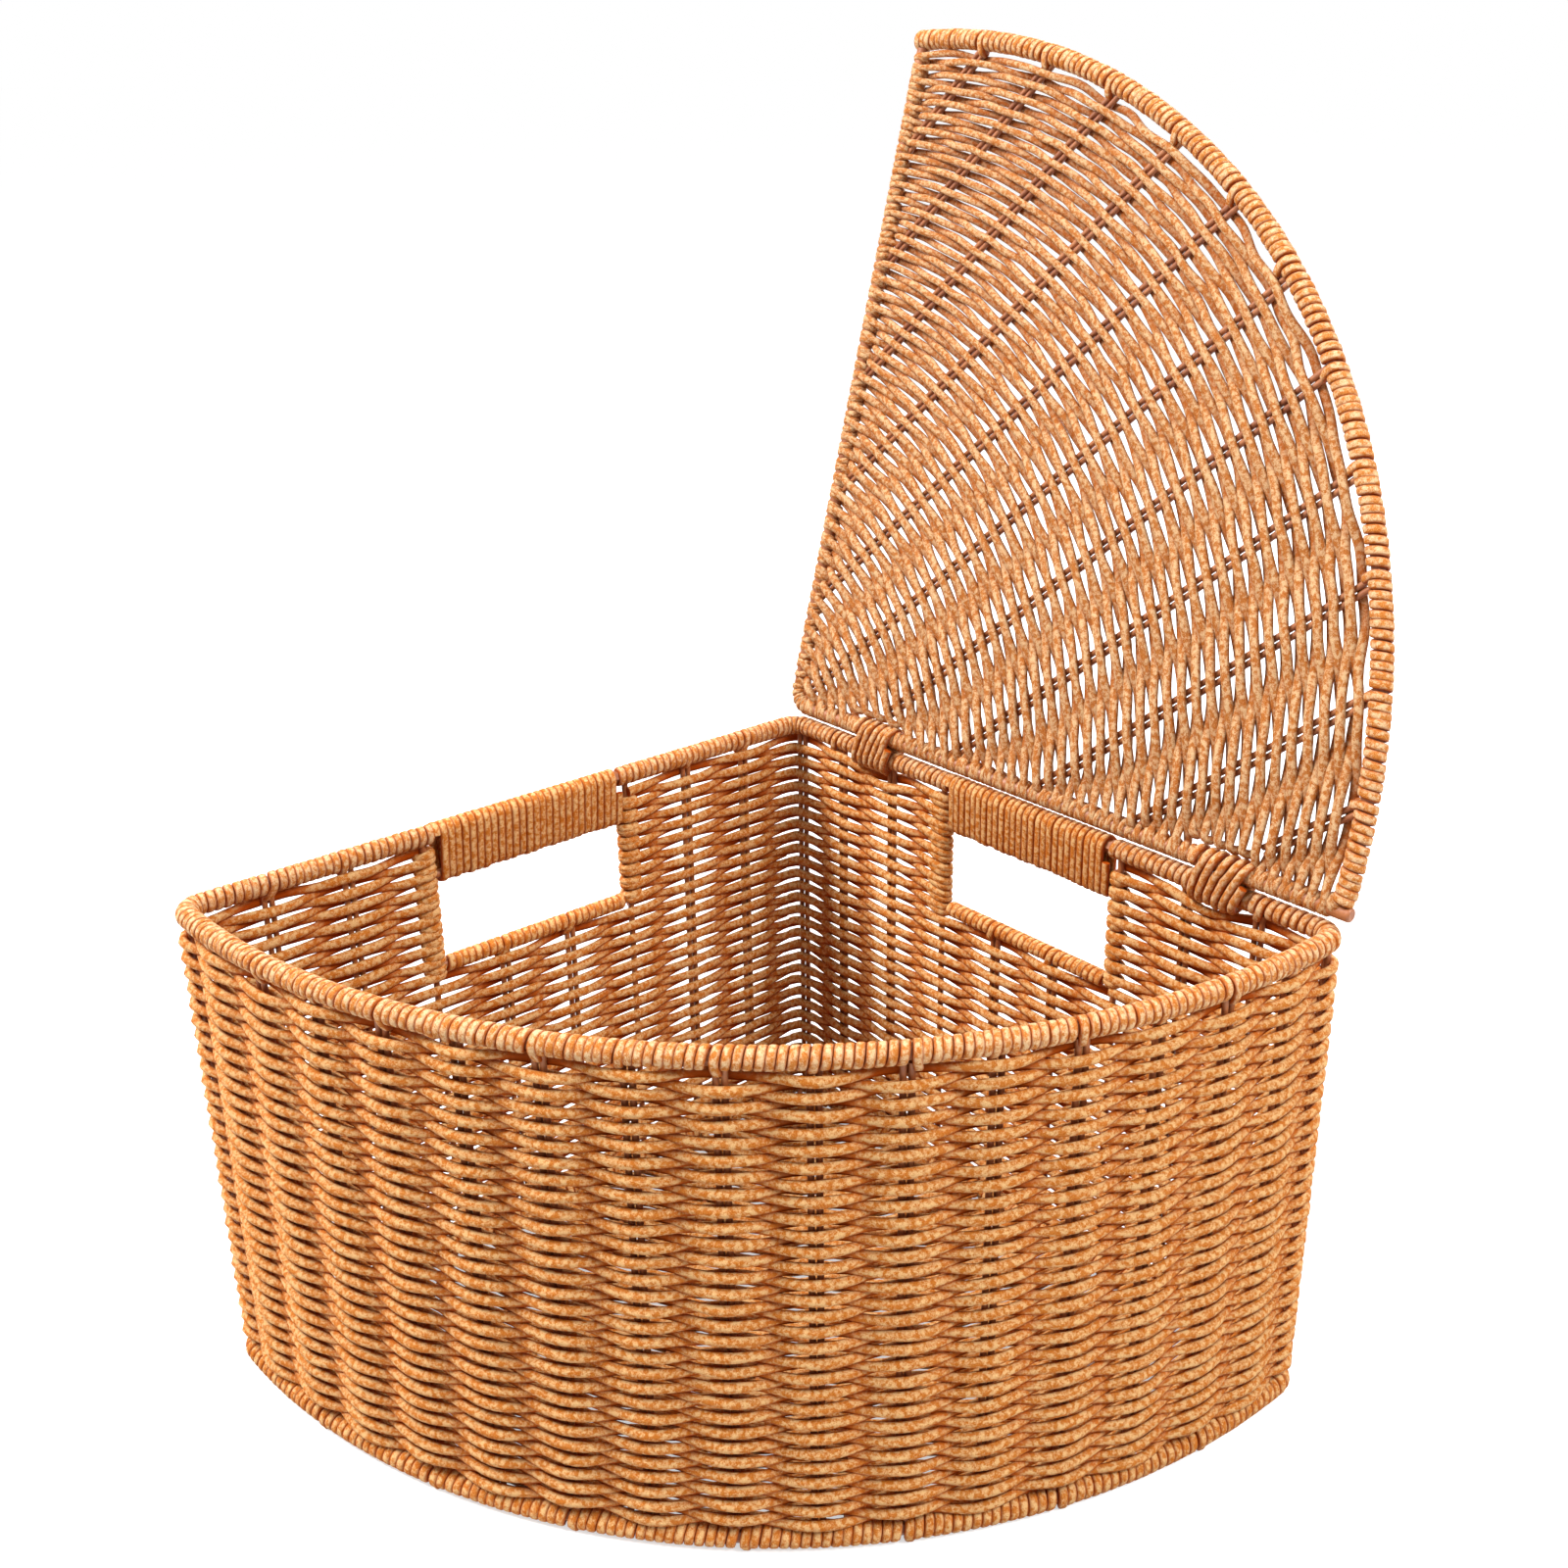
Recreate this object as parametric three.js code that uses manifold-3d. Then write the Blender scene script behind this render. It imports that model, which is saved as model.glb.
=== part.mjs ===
// Corner storage basket: paper cord woven on wire stakes between wound bars, with a lid on cord bindings.
// Millimetres, +Z up. Seen from above, the hinge wall runs along X at the back, the side wall runs to -Y
// from its left end, and an arc closes the front.
import * as THREE from 'three';
import { mergeVertices } from 'three/addons/utils/BufferGeometryUtils.js';
import Module from 'manifold-3d';

// Overall form
const SIDE = 320; // each straight wall, back corner to far end, between bar centres
const WALL_HEIGHT = 211; // base bar centre to rim bar centre
const ARC_INSET = 16; // the front arc's centre lies this far inside both straight walls
const BEND = 9; // centreline radius where a bar turns a corner
const OPEN_ANGLE = 105.3; // degrees the lid stands open, from lying on the rim
const HINGE_RISE = 10.2; // lid hinge bar above the rim bar, centre to centre

// Bars, stakes and cord
const BAR = 6; // rim, base and lid bars
const STAKE = 2; // one leg of a paired wall stake
const STAKE_PITCH = 2.8; // between the legs of a pair
const PANEL_STAKE = 3; // single stakes of the lid and the base
const JAMB = 3; // upright wires of a handle frame
const RAIL = 4; // sill and rail of a handle frame
const WIND_THICK = 1.8; // cord flattened by tight winding
const WIND_WIDE = 3;
const BIND_THICK = 2.2; // cord of the hinge bindings
const BIND_WIDE = 3.4;
const LID_BAR_END = 5; // bare end of a lid bar past the arc
const CLEAR = 0.3; // gap left between pieces that touch

// Weave
const WEAVE = 8.4; // thickness of the woven walls and lid
const BASE_WEAVE = 7; // thickness of the woven base
const HEAD_GAP = 4.8; // rim winding to the top row of a wall
const FOOT_GAP = 0.4; // base winding to the bottom row of a wall

// See-through places of the front and the lid: a plain grid of slits between the stakes
const SLIT_WIDE = 20;
const SLIT_TALL = 8;
const FRONT_SLITS = 12; // in a row round the front, the same number of spaces left out at both ends
const FRONT_SLIT_ROWS = 4;
const LID_SLIT_PITCH = 56; // between the rows of the lid, from the arc inwards
const LID_SLIT_EDGE = 24; // kept free at the lid's straight edges

// Stake pattern: spaces between stakes along each stretch
const STRAIGHT_SPACES = 9;
const ARC_SPACES = 16;
const PANEL_STRAIGHT_SPACES = 6;
const PANEL_ARC_SPACES = 12;

// Handles, one in each straight wall, between two uprights that stand in for stakes
const JAMB_NEAR = 3; // stake number, counted from the back corner
const JAMB_FAR = 6;
const JAMB_EDGE = 4.9; // woven edge past a jamb's centre
const RAIL_DROP = 19.5; // rim bar centre down to the grip's rail
const HANDLE_OPENING = 36.6; // clear height under the grip
const SILL_WOUND = 7.6; // sill with its winding
const SILL_GAP = 0.4; // sill winding to the weave under it
const GRIP_TURNS = 24;

// Hinge bindings
const BINDING_NEAR = 60; // centre of the first binding, from the back corner
const BINDING_FAR = 56; // centre of the second binding, from the hinge wall's far end
const BINDING_TURNS = 6;
const BINDING_PITCH = 4.4;
const WINDOW_MARGIN = 0.6; // room left in the lid's weave at each end of a binding

// Mesh fineness
const ARC_STEPS = 18;
const BEND_STEPS = 3;
const WIRE_SIDES = 6;
const WOUND_SIDES = 8;
const BELT_STEPS = 4; // along each half turn of a winding
const HAIRPIN_STEPS = 2; // along the foot of a wall stake

const wasm = await Module();
wasm.setup();

const cordMaterial = new THREE.MeshStandardMaterial({ color: 0xcf8f4c, roughness: 0.85, metalness: 0 });
const woundMaterial = new THREE.MeshStandardMaterial({ color: 0xdba566, roughness: 0.8, metalness: 0 });
const stakeMaterial = new THREE.MeshStandardMaterial({ color: 0x6e4026, roughness: 0.55, metalness: 0.1 });
const barMaterial = new THREE.MeshStandardMaterial({ color: 0x7a4b2e, roughness: 0.6, metalness: 0 });

// Heights and plan geometry that follow from the driving dimensions
const wound = BAR + 2 * WIND_THICK;
const baseZ = wound / 2;
const rimZ = baseZ + WALL_HEIGHT;
const hingeZ = rimZ + HINGE_RISE;
const weaveFoot = baseZ + wound / 2 + FOOT_GAP;
const weaveHead = rimZ - wound / 2 - HEAD_GAP;
const stakeFoot = baseZ + wound / 2 + CLEAR;
const stakeHead = rimZ - wound / 2 - CLEAR;
const railZ = rimZ - RAIL_DROP;
const sillZ = railZ - RAIL / 2 - CLEAR - WIND_THICK - HANDLE_OPENING - SILL_WOUND / 2;
const notchZ = sillZ - SILL_WOUND / 2 - SILL_GAP;
const wallStep = SIDE / STRAIGHT_SPACES;
const handleFrom = JAMB_NEAR * wallStep + JAMB_EDGE;
const handleTo = JAMB_FAR * wallStep - JAMB_EDGE;

const arcRadius = Math.hypot(SIDE - ARC_INSET, ARC_INSET);
const arcCentre = new THREE.Vector2(ARC_INSET, -ARC_INSET);
const endBend = ARC_INSET + Math.sqrt((arcRadius - BEND) ** 2 - (ARC_INSET - BEND) ** 2);
const rightTurn = Math.atan2(ARC_INSET - BEND, endBend - ARC_INSET);
const leftTurn = -Math.PI / 2 - rightTurn;
const cornerAngle = Math.atan2(ARC_INSET, SIDE - ARC_INSET);
const backBend = new THREE.Vector2(BEND, -BEND);
const rightBend = new THREE.Vector2(endBend, -BEND);
const leftBend = new THREE.Vector2(BEND, -endBend);

const upwards = new THREE.Vector3(0, 0, 1);
const alongHinge = new THREE.Vector2(1, 0);
const alongSide = new THREE.Vector2(0, -1);
const behindHinge = new THREE.Vector2(0, 1);
const outsideSide = new THREE.Vector2(-1, 0);
const onHingeWall = (distance) => new THREE.Vector2(distance, 0);
const onSideWall = (distance) => new THREE.Vector2(0, -distance);
const at = (point, z) => new THREE.Vector3(point.x, point.y, z);
const twoDigits = (number) => String(number).padStart(2, '0');

// A path through given stations, whose sections keep their height along a guide direction.
class StationPath extends THREE.Curve {
  constructor(stations, guide) {
    super();
    this.stations = stations;
    this.guide = guide;
  }

  getPoint(t, target = new THREE.Vector3()) {
    const last = this.stations.length - 1;
    const first = Math.min(Math.floor(t * last), last - 1);
    return target.lerpVectors(this.stations[first], this.stations[first + 1], t * last - first);
  }

  getPointAt(u, target) {
    return this.getPoint(u, target);
  }

  computeFrenetFrames(segments) {
    const tangents = [];
    const normals = [];
    const binormals = [];
    for (let index = 0; index <= segments; index += 1) {
      const before = this.stations[Math.max(index - 1, 0)];
      const after = this.stations[Math.min(index + 1, segments)];
      const tangent = new THREE.Vector3().subVectors(after, before).normalize();
      const binormal = this.guide.clone().addScaledVector(tangent, -tangent.dot(this.guide)).normalize();
      tangents.push(tangent);
      binormals.push(binormal);
      normals.push(new THREE.Vector3().crossVectors(binormal, tangent));
    }
    return { tangents, normals, binormals };
  }
}

// A regular section whose flats stand at the given radius and face the guide direction.
function flatsAt(radius, sides) {
  const corners = [];
  const reach = radius / Math.cos(Math.PI / sides);
  for (let side = 0; side < sides; side += 1) {
    const angle = ((side + 0.5) / sides) * Math.PI * 2 + Math.PI / 2;
    corners.push(new THREE.Vector2(reach * Math.cos(angle), reach * Math.sin(angle)));
  }
  return corners;
}

// A flattened cord: thick across the bar, wide along it.
function cordSection(thick, wide) {
  const corners = [[-1, -0.5], [0, -1], [1, -0.5], [1, 0.5], [0, 1], [-1, 0.5]];
  return corners.map(([across, along]) => new THREE.Vector2((across * thick) / 2, (along * wide) / 2));
}

function sweep(stations, section, guide, bore) {
  const shape = new THREE.Shape(section);
  if (bore) {
    shape.holes.push(new THREE.Path(bore));
  }
  const extrudePath = new StationPath(stations, guide);
  return new THREE.ExtrudeGeometry(shape, { steps: stations.length - 1, bevelEnabled: false, extrudePath });
}

function rod(stations, diameter, guide) {
  return sweep(stations, flatsAt((diameter / 2) * Math.cos(Math.PI / WIRE_SIDES), WIRE_SIDES), guide);
}

// The room that a rod needs: a fatter rod, a clearance away all round.
function rodRoom(stations, diameter, guide) {
  return sweep(stations, flatsAt(diameter / 2 + CLEAR, WIRE_SIDES), guide);
}

function sleeve(stations, diameter, inner) {
  const bore = flatsAt(inner / 2 + CLEAR, WIRE_SIDES);
  return sweep(stations, flatsAt(diameter / 2, WOUND_SIDES), upwards, bore);
}

function toSolid(geometry) {
  const bare = geometry.clone();
  bare.deleteAttribute('normal');
  bare.deleteAttribute('uv');
  const merged = mergeVertices(bare, 1e-4);
  return new wasm.Manifold(new wasm.Mesh({
    numProp: 3,
    vertProperties: new Float32Array(merged.attributes.position.array),
    triVerts: new Uint32Array(merged.index.array),
  }));
}

function toGeometry(solid) {
  const mesh = solid.getMesh();
  const geometry = new THREE.BufferGeometry();
  geometry.setAttribute('position', new THREE.BufferAttribute(new Float32Array(mesh.vertProperties), 3));
  geometry.setIndex(new THREE.BufferAttribute(new Uint32Array(mesh.triVerts), 1));
  return geometry;
}

function join(geometries) {
  return geometries.map(toSolid).reduce((whole, piece) => whole.add(piece));
}

function cut(solid, tools) {
  return toGeometry(tools.reduce((whole, tool) => whole.subtract(tool), solid));
}

function polar(centre, radius, angle) {
  return new THREE.Vector2(centre.x + radius * Math.cos(angle), centre.y + radius * Math.sin(angle));
}

function arcPoints(centre, radius, from, to, steps) {
  const points = [];
  for (let step = 0; step <= steps; step += 1) {
    points.push(polar(centre, radius, from + ((to - from) * step) / steps));
  }
  return points;
}

// Stretches of the plan loop, moved outwards by an offset and taken clockwise from the hinge wall.
function frontStretch(offset) {
  return [
    ...arcPoints(rightBend, BEND + offset, Math.PI / 2, rightTurn, BEND_STEPS),
    ...arcPoints(arcCentre, arcRadius + offset, rightTurn, leftTurn, ARC_STEPS).slice(1),
    ...arcPoints(leftBend, BEND + offset, leftTurn, -Math.PI, BEND_STEPS).slice(1),
  ];
}

function backStretch(offset) {
  return arcPoints(backBend, BEND + offset, Math.PI, Math.PI / 2, BEND_STEPS);
}

// A whole bar loop, butted in the middle of the side wall.
function loopStations(z) {
  const start = onSideWall((SIDE - CLEAR) / 2);
  const end = onSideWall((SIDE + CLEAR) / 2);
  return [start, ...backStretch(0), ...frontStretch(0), end].map((point) => at(point, z));
}

function plate(outline, thick, z) {
  const shape = new THREE.Shape(outline);
  return new THREE.ExtrudeGeometry(shape, { depth: thick, bevelEnabled: false }).translate(0, 0, z);
}

const basket = new THREE.Group();
basket.position.x = -SIDE / 2;
const lid = new THREE.Group();
lid.position.z = hingeZ;
lid.rotation.x = -THREE.MathUtils.degToRad(OPEN_ANGLE);
basket.add(lid);

function addPiece(group, name, geometry, material) {
  const mesh = new THREE.Mesh(geometry, material);
  mesh.name = name;
  group.add(mesh);
}

// A wall stake is a hairpin of wire: two legs side by side, joined at the foot.
function hairpin(place, along, head) {
  const half = STAKE_PITCH / 2;
  const bendZ = stakeFoot + STAKE / 2 + half;
  const side = (offset, z) => at(place.clone().addScaledVector(along, offset), z);
  const stations = [side(-half, head)];
  for (let step = 0; step <= HAIRPIN_STEPS; step += 1) {
    const angle = Math.PI * (1 + step / HAIRPIN_STEPS);
    stations.push(side(half * Math.cos(angle), bendZ + half * Math.sin(angle)));
  }
  stations.push(side(half, head));
  return rod(stations, STAKE, new THREE.Vector3(-along.y, along.x, 0));
}

// The slot, right through the height of a woven wall, that a hairpin stands in.
function stakeSlot(place, along) {
  const across = new THREE.Vector2(-along.y, along.x);
  const halfLength = STAKE_PITCH / 2 + STAKE / 2 + CLEAR;
  const halfWidth = STAKE / 2 + CLEAR;
  const corners = [[-1, -1], [1, -1], [1, 1], [-1, 1]].map(([l, w]) => place.clone()
    .addScaledVector(along, l * halfLength)
    .addScaledVector(across, w * halfWidth));
  return toSolid(plate(corners, rimZ - baseZ, baseZ));
}

// A stake under a binding ends at the weave, so that the turns pass between it and the rim.
const bindingPlaces = [BINDING_NEAR, SIDE - BINDING_FAR];
const bindingHalf = (BINDING_TURNS * BINDING_PITCH + BIND_WIDE) / 2;
function headAt(distance) {
  const reach = bindingHalf + STAKE_PITCH / 2 + STAKE / 2 + CLEAR;
  return bindingPlaces.some((place) => Math.abs(place - distance) < reach) ? weaveHead : stakeHead;
}

const hingeSlots = [];
const sideSlots = [];
const frontSlots = [];
for (let number = 1; number < STRAIGHT_SPACES; number += 1) {
  const distance = number * wallStep;
  if (number !== JAMB_NEAR && number !== JAMB_FAR) {
    hingeSlots.push(stakeSlot(onHingeWall(distance), alongHinge));
    sideSlots.push(stakeSlot(onSideWall(distance), alongSide));
  }
  if (number < JAMB_NEAR || number > JAMB_FAR) {
    const hingeStake = hairpin(onHingeWall(distance), alongHinge, headAt(distance));
    addPiece(basket, `hinge_wall_stake_${number}`, hingeStake, stakeMaterial);
    const sideStake = hairpin(onSideWall(distance), alongSide, stakeHead);
    addPiece(basket, `side_wall_stake_${number}`, sideStake, stakeMaterial);
  }
}

function addRoundStake(name, centre, radius, angle, slots) {
  const place = polar(centre, radius, angle);
  const along = new THREE.Vector2(Math.sin(angle), -Math.cos(angle));
  addPiece(basket, name, hairpin(place, along, stakeHead), stakeMaterial);
  slots.push(stakeSlot(place, along));
}
addRoundStake('corner_stake_back', backBend, BEND, (3 * Math.PI) / 4, hingeSlots);
addRoundStake('corner_stake_right', rightBend, BEND, (Math.PI / 2 + rightTurn) / 2, frontSlots);
addRoundStake('corner_stake_left', leftBend, BEND, (leftTurn - Math.PI) / 2, frontSlots);
const arcAngle = (share) => cornerAngle - (Math.PI / 2 + 2 * cornerAngle) * share;
for (let number = 1; number < ARC_SPACES; number += 1) {
  const name = `front_stake_${twoDigits(number)}`;
  addRoundStake(name, arcCentre, arcRadius, arcAngle(number / ARC_SPACES), frontSlots);
}

// Stakes of a flat panel fan from the two straight edges to the arc, with one on the diagonal.
function panelStakes() {
  const stakes = [];
  for (let number = 1; number < PANEL_ARC_SPACES; number += 1) {
    const fromCorner = ((PANEL_STRAIGHT_SPACES - number) * SIDE) / PANEL_STRAIGHT_SPACES;
    let foot = fromCorner > 0 ? onHingeWall(fromCorner) : onSideWall(-fromCorner);
    if (number === PANEL_STRAIGHT_SPACES) {
      foot = polar(backBend, BEND, (3 * Math.PI) / 4);
    }
    const tip = polar(arcCentre, arcRadius, arcAngle(number / PANEL_ARC_SPACES));
    stakes.push({ number, fromCorner, foot, tip });
  }
  return stakes;
}

// Handle frames: jambs, sill, rail and the short stakes under the sill, welded into one piece.
function handleParts(wall, along, make) {
  const near = wall(JAMB_NEAR * wallStep);
  const far = wall(JAMB_FAR * wallStep);
  const sideways = at(along, 0);
  const parts = [
    make([at(near, stakeFoot), at(near, stakeHead)], JAMB, sideways),
    make([at(far, stakeFoot), at(far, stakeHead)], JAMB, sideways),
    make([at(near, sillZ), at(far, sillZ)], RAIL, upwards),
    make([at(near, railZ), at(far, railZ)], RAIL, upwards),
  ];
  for (let number = JAMB_NEAR + 1; number < JAMB_FAR; number += 1) {
    for (const side of [-1, 1]) {
      const leg = wall(number * wallStep).addScaledVector(along, (side * STAKE_PITCH) / 2);
      parts.push(make([at(leg, stakeFoot), at(leg, sillZ)], STAKE, sideways));
    }
  }
  return parts;
}

// Windings. Each turn is a belt round an upper and a lower bar, and moves along them by the pitch.
function beltPoints(upper, lower, drop) {
  const lean = Math.asin((lower - upper) / drop);
  const overTop = arcPoints(new THREE.Vector2(0, 0), upper, lean, Math.PI - lean, BELT_STEPS);
  const below = new THREE.Vector2(0, -drop);
  return [...overTop, ...arcPoints(below, lower, Math.PI - lean, 2 * Math.PI + lean, BELT_STEPS)];
}

// Stations of a belt, large enough for its chords to clear the bar.
function beltRadius(radius, thick) {
  return (radius + CLEAR + thick / 2) / Math.cos(Math.PI / (2 * BELT_STEPS));
}

// Stations of a winding: distance along the bars, distance outwards, height above the upper bar.
function windingStations(belt, turns, from, pitch) {
  const start = belt[0].clone().lerp(belt[belt.length - 1], 0.5);
  const stations = [[from, start.x, start.y]];
  for (let turn = 0; turn < turns; turn += 1) {
    belt.forEach((point, index) => {
      const part = (index + 0.5) / belt.length;
      stations.push([from + (turn + part) * pitch, point.x, point.y]);
    });
  }
  stations.push([from + turns * pitch, start.x, start.y]);
  return stations;
}

function leastGap(stations, perTurn, wide) {
  let least = Infinity;
  for (let first = 0; first < stations.length; first += 1) {
    for (let second = first + perTurn - 2; second < stations.length; second += 1) {
      least = Math.min(least, stations[first].distanceTo(stations[second]) - wide);
    }
  }
  return least;
}

function addWinding(name, stations, turns, thick, wide, guide) {
  const gap = leastGap(stations, (stations.length - 2) / turns, wide);
  console.log(`${name}: ${turns} turns, least gap between turns ${gap.toFixed(2)} mm`);
  addPiece(basket, name, sweep(stations, cordSection(thick, wide), guide), woundMaterial);
}

function addHandle(prefix, wall, along, outward) {
  addPiece(basket, `${prefix}_handle_frame`, toGeometry(join(handleParts(wall, along, rod))), stakeMaterial);

  const room = join(handleParts(wall, along, rodRoom));
  const sill = [at(wall(handleFrom + CLEAR), sillZ), at(wall(handleTo - CLEAR), sillZ)];
  const sillWrap = toSolid(sweep(sill, flatsAt(SILL_WOUND / 2, WOUND_SIDES), upwards));
  addPiece(basket, `${prefix}_sill_wrap`, cut(sillWrap, [room]), woundMaterial);

  const belt = beltPoints(beltRadius(BAR / 2, WIND_THICK), beltRadius(RAIL / 2, WIND_THICK), RAIL_DROP);
  const from = handleFrom + CLEAR + WIND_WIDE / 2;
  const pitch = (handleTo - handleFrom - 2 * CLEAR - WIND_WIDE) / GRIP_TURNS;
  const stations = windingStations(belt, GRIP_TURNS, from, pitch)
    .map(([distance, out, rise]) => at(wall(distance).addScaledVector(outward, out), rimZ + rise));
  addWinding(`${prefix}_grip_winding`, stations, GRIP_TURNS, WIND_THICK, WIND_WIDE, at(along, 0));
  return room;
}
const hingeFrameRoom = addHandle('hinge_wall', onHingeWall, alongHinge, behindHinge);
const sideFrameRoom = addHandle('side_wall', onSideWall, alongSide, outsideSide);

// The opening of a handle, cut down from the top of a woven wall.
function handleNotch(wall, outward) {
  const corners = [
    wall(handleFrom).addScaledVector(outward, -WEAVE),
    wall(handleTo).addScaledVector(outward, -WEAVE),
    wall(handleTo).addScaledVector(outward, WEAVE),
    wall(handleFrom).addScaledVector(outward, WEAVE),
  ];
  return toSolid(plate(corners, rimZ - notchZ, notchZ));
}

// Woven walls, each with slots for its stakes. The hinge wall turns the back corner and the front wall
// turns the other two.
const half = WEAVE / 2;
function addWall(name, plan, rooms) {
  const wall = toSolid(plate(plan, weaveHead - weaveFoot, weaveFoot));
  addPiece(basket, name, cut(wall, rooms), cordMaterial);
}

const hingePlan = [
  new THREE.Vector2(endBend - CLEAR, -half),
  new THREE.Vector2(endBend - CLEAR, half),
  ...backStretch(half).reverse(),
  ...backStretch(-half),
];
const hingeNotch = handleNotch(onHingeWall, behindHinge);
addWall('hinge_wall_weave', hingePlan, [hingeNotch, hingeFrameRoom, ...hingeSlots]);

const sidePlan = [
  new THREE.Vector2(-half, -BEND - CLEAR),
  new THREE.Vector2(-half, -endBend + CLEAR),
  new THREE.Vector2(half, -endBend + CLEAR),
  new THREE.Vector2(half, -BEND - CLEAR),
];
const sideNotch = handleNotch(onSideWall, outsideSide);
addWall('side_wall_weave', sidePlan, [sideNotch, sideFrameRoom, ...sideSlots]);

// A slit through a weave, along a line from one point to another.
function slit(from, to, wide, tall) {
  const corners = [[-1, -1], [1, -1], [1, 1], [-1, 1]];
  const section = corners.map(([w, t]) => new THREE.Vector2((w * wide) / 2, (t * tall) / 2));
  return toSolid(sweep([from, to], section, upwards));
}

const frontSlits = [];
const bareSpaces = (ARC_SPACES - FRONT_SLITS) / 2;
const slitRise = (weaveHead - weaveFoot) / FRONT_SLIT_ROWS;
for (let space = bareSpaces; space < ARC_SPACES - bareSpaces; space += 1) {
  const angle = arcAngle((space + 0.5) / ARC_SPACES);
  const inner = polar(arcCentre, arcRadius - WEAVE, angle);
  const outer = polar(arcCentre, arcRadius + WEAVE, angle);
  for (let row = 0; row < FRONT_SLIT_ROWS; row += 1) {
    const z = weaveFoot + (row + 0.5) * slitRise;
    frontSlits.push(slit(at(inner, z), at(outer, z), SLIT_WIDE, SLIT_TALL));
  }
}
const frontPlan = [...frontStretch(half), ...frontStretch(-half).reverse()];
addWall('front_wall_weave', frontPlan, [...frontSlots, ...frontSlits]);

// Rim: one bar all round, wound from grip to grip.
addPiece(basket, 'top_rim_bar', rod(loopStations(rimZ), BAR, upwards), barMaterial);
const backRim = [onSideWall(handleFrom), ...backStretch(0), onHingeWall(handleFrom)];
const backWrap = sleeve(backRim.map((point) => at(point, rimZ)), wound, BAR);
addPiece(basket, 'rim_wrap_back', backWrap, woundMaterial);
const frontRim = [onHingeWall(handleTo), ...frontStretch(0), onSideWall(handleTo)];
const frontWrap = sleeve(frontRim.map((point) => at(point, rimZ)), wound, BAR);
addPiece(basket, 'rim_wrap_front', frontWrap, woundMaterial);

// Base: a bar with the floor's stakes fixed across it, its winding, and the woven floor inside.
const baseLines = panelStakes().map(({ foot, tip }) => [at(foot, baseZ), at(tip, baseZ)]);
const baseFrame = join([
  rod(loopStations(baseZ), BAR, upwards),
  ...baseLines.map((line) => rod(line, PANEL_STAKE, upwards)),
]);
addPiece(basket, 'base_frame', toGeometry(baseFrame), barMaterial);
const baseRoom = join(baseLines.map((line) => rodRoom(line, PANEL_STAKE, upwards)));
const baseWrap = toSolid(sleeve(loopStations(baseZ), wound, BAR));
addPiece(basket, 'base_rim_wrap', cut(baseWrap, [baseRoom]), woundMaterial);
const floorInset = -wound / 2 - CLEAR;
const floorPlan = [...frontStretch(floorInset), ...backStretch(floorInset)];
const floorPlate = toSolid(plate(floorPlan, BASE_WEAVE, baseZ - BASE_WEAVE / 2));
addPiece(basket, 'base_weave', cut(floorPlate, [baseRoom]), cordMaterial);

// Lid: an L of bar for its straight edges, a wound arc bar, fanned stakes and the weave over them.
const lidInner = arcRadius - wound / 2 - 2 * CLEAR;
const lidTurn = Math.asin(ARC_INSET / lidInner);
const lidEnd = ARC_INSET + lidInner * Math.cos(lidTurn);
const lidArcTurn = Math.asin((ARC_INSET - BAR / 2 - 2 * CLEAR) / arcRadius);
const lidArc = arcPoints(arcCentre, arcRadius, lidArcTurn, -Math.PI / 2 - lidArcTurn, ARC_STEPS)
  .map((point) => at(point, 0));
addPiece(lid, 'lid_arc_bar', rod(lidArc, BAR, upwards), barMaterial);
addPiece(lid, 'lid_arc_wrap', sleeve(lidArc, wound, BAR), woundMaterial);

const edgeReach = SIDE + LID_BAR_END;
const edgeBar = [onSideWall(edgeReach), ...backStretch(0), onHingeWall(edgeReach)]
  .map((point) => at(point, 0));
addPiece(lid, 'lid_edge_bar', rod(edgeBar, BAR, upwards), barMaterial);

const bindingUpper = beltRadius(BAR / 2, BIND_THICK);
const bindingLower = beltRadius(wound / 2 / Math.cos(Math.PI / WOUND_SIDES), BIND_THICK);
const windowRadius = Math.max(bindingUpper, bindingLower) + BIND_THICK / 2 + 2 * CLEAR;
const windowHalf = bindingHalf + WINDOW_MARGIN;

// A lid stake runs from its edge bar, or from the edge of a binding's window, to the arc's winding.
function lidStakeLine({ fromCorner, foot, tip }) {
  const reach = new THREE.Vector2().subVectors(tip, foot).normalize();
  const inWindow = bindingPlaces.some((place) => Math.abs(place - fromCorner) < windowHalf + windowRadius);
  const off = inWindow ? windowRadius + PANEL_STAKE : BAR / 2 + PANEL_STAKE / 2 + CLEAR;
  const slant = Math.abs(fromCorner > 0 ? reach.y : reach.x);
  const start = foot.clone().addScaledVector(reach, off / slant);
  const toCentre = new THREE.Vector2().subVectors(arcCentre, start);
  const middle = toCentre.dot(reach);
  const length = middle + Math.sqrt(lidInner ** 2 - toCentre.lengthSq() + middle ** 2) - PANEL_STAKE / 2;
  return { start, reach, end: start.clone().addScaledVector(reach, length) };
}

const lidRooms = [toSolid(rodRoom(edgeBar, BAR, upwards))];
for (const stake of panelStakes()) {
  const { start, reach, end } = lidStakeLine(stake);
  const name = `lid_stake_${twoDigits(stake.number)}`;
  addPiece(lid, name, rod([at(start, 0), at(end, 0)], PANEL_STAKE, upwards), stakeMaterial);
  const channel = [start.clone().addScaledVector(reach, -CLEAR), end.clone().addScaledVector(reach, wound)];
  lidRooms.push(toSolid(rodRoom(channel.map((point) => at(point, 0)), PANEL_STAKE, upwards)));
}
for (const place of bindingPlaces) {
  const ends = [at(onHingeWall(place - windowHalf), 0), at(onHingeWall(place + windowHalf), 0)];
  lidRooms.push(toSolid(sweep(ends, flatsAt(windowRadius, 2 * WOUND_SIDES), upwards)));
}

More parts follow.
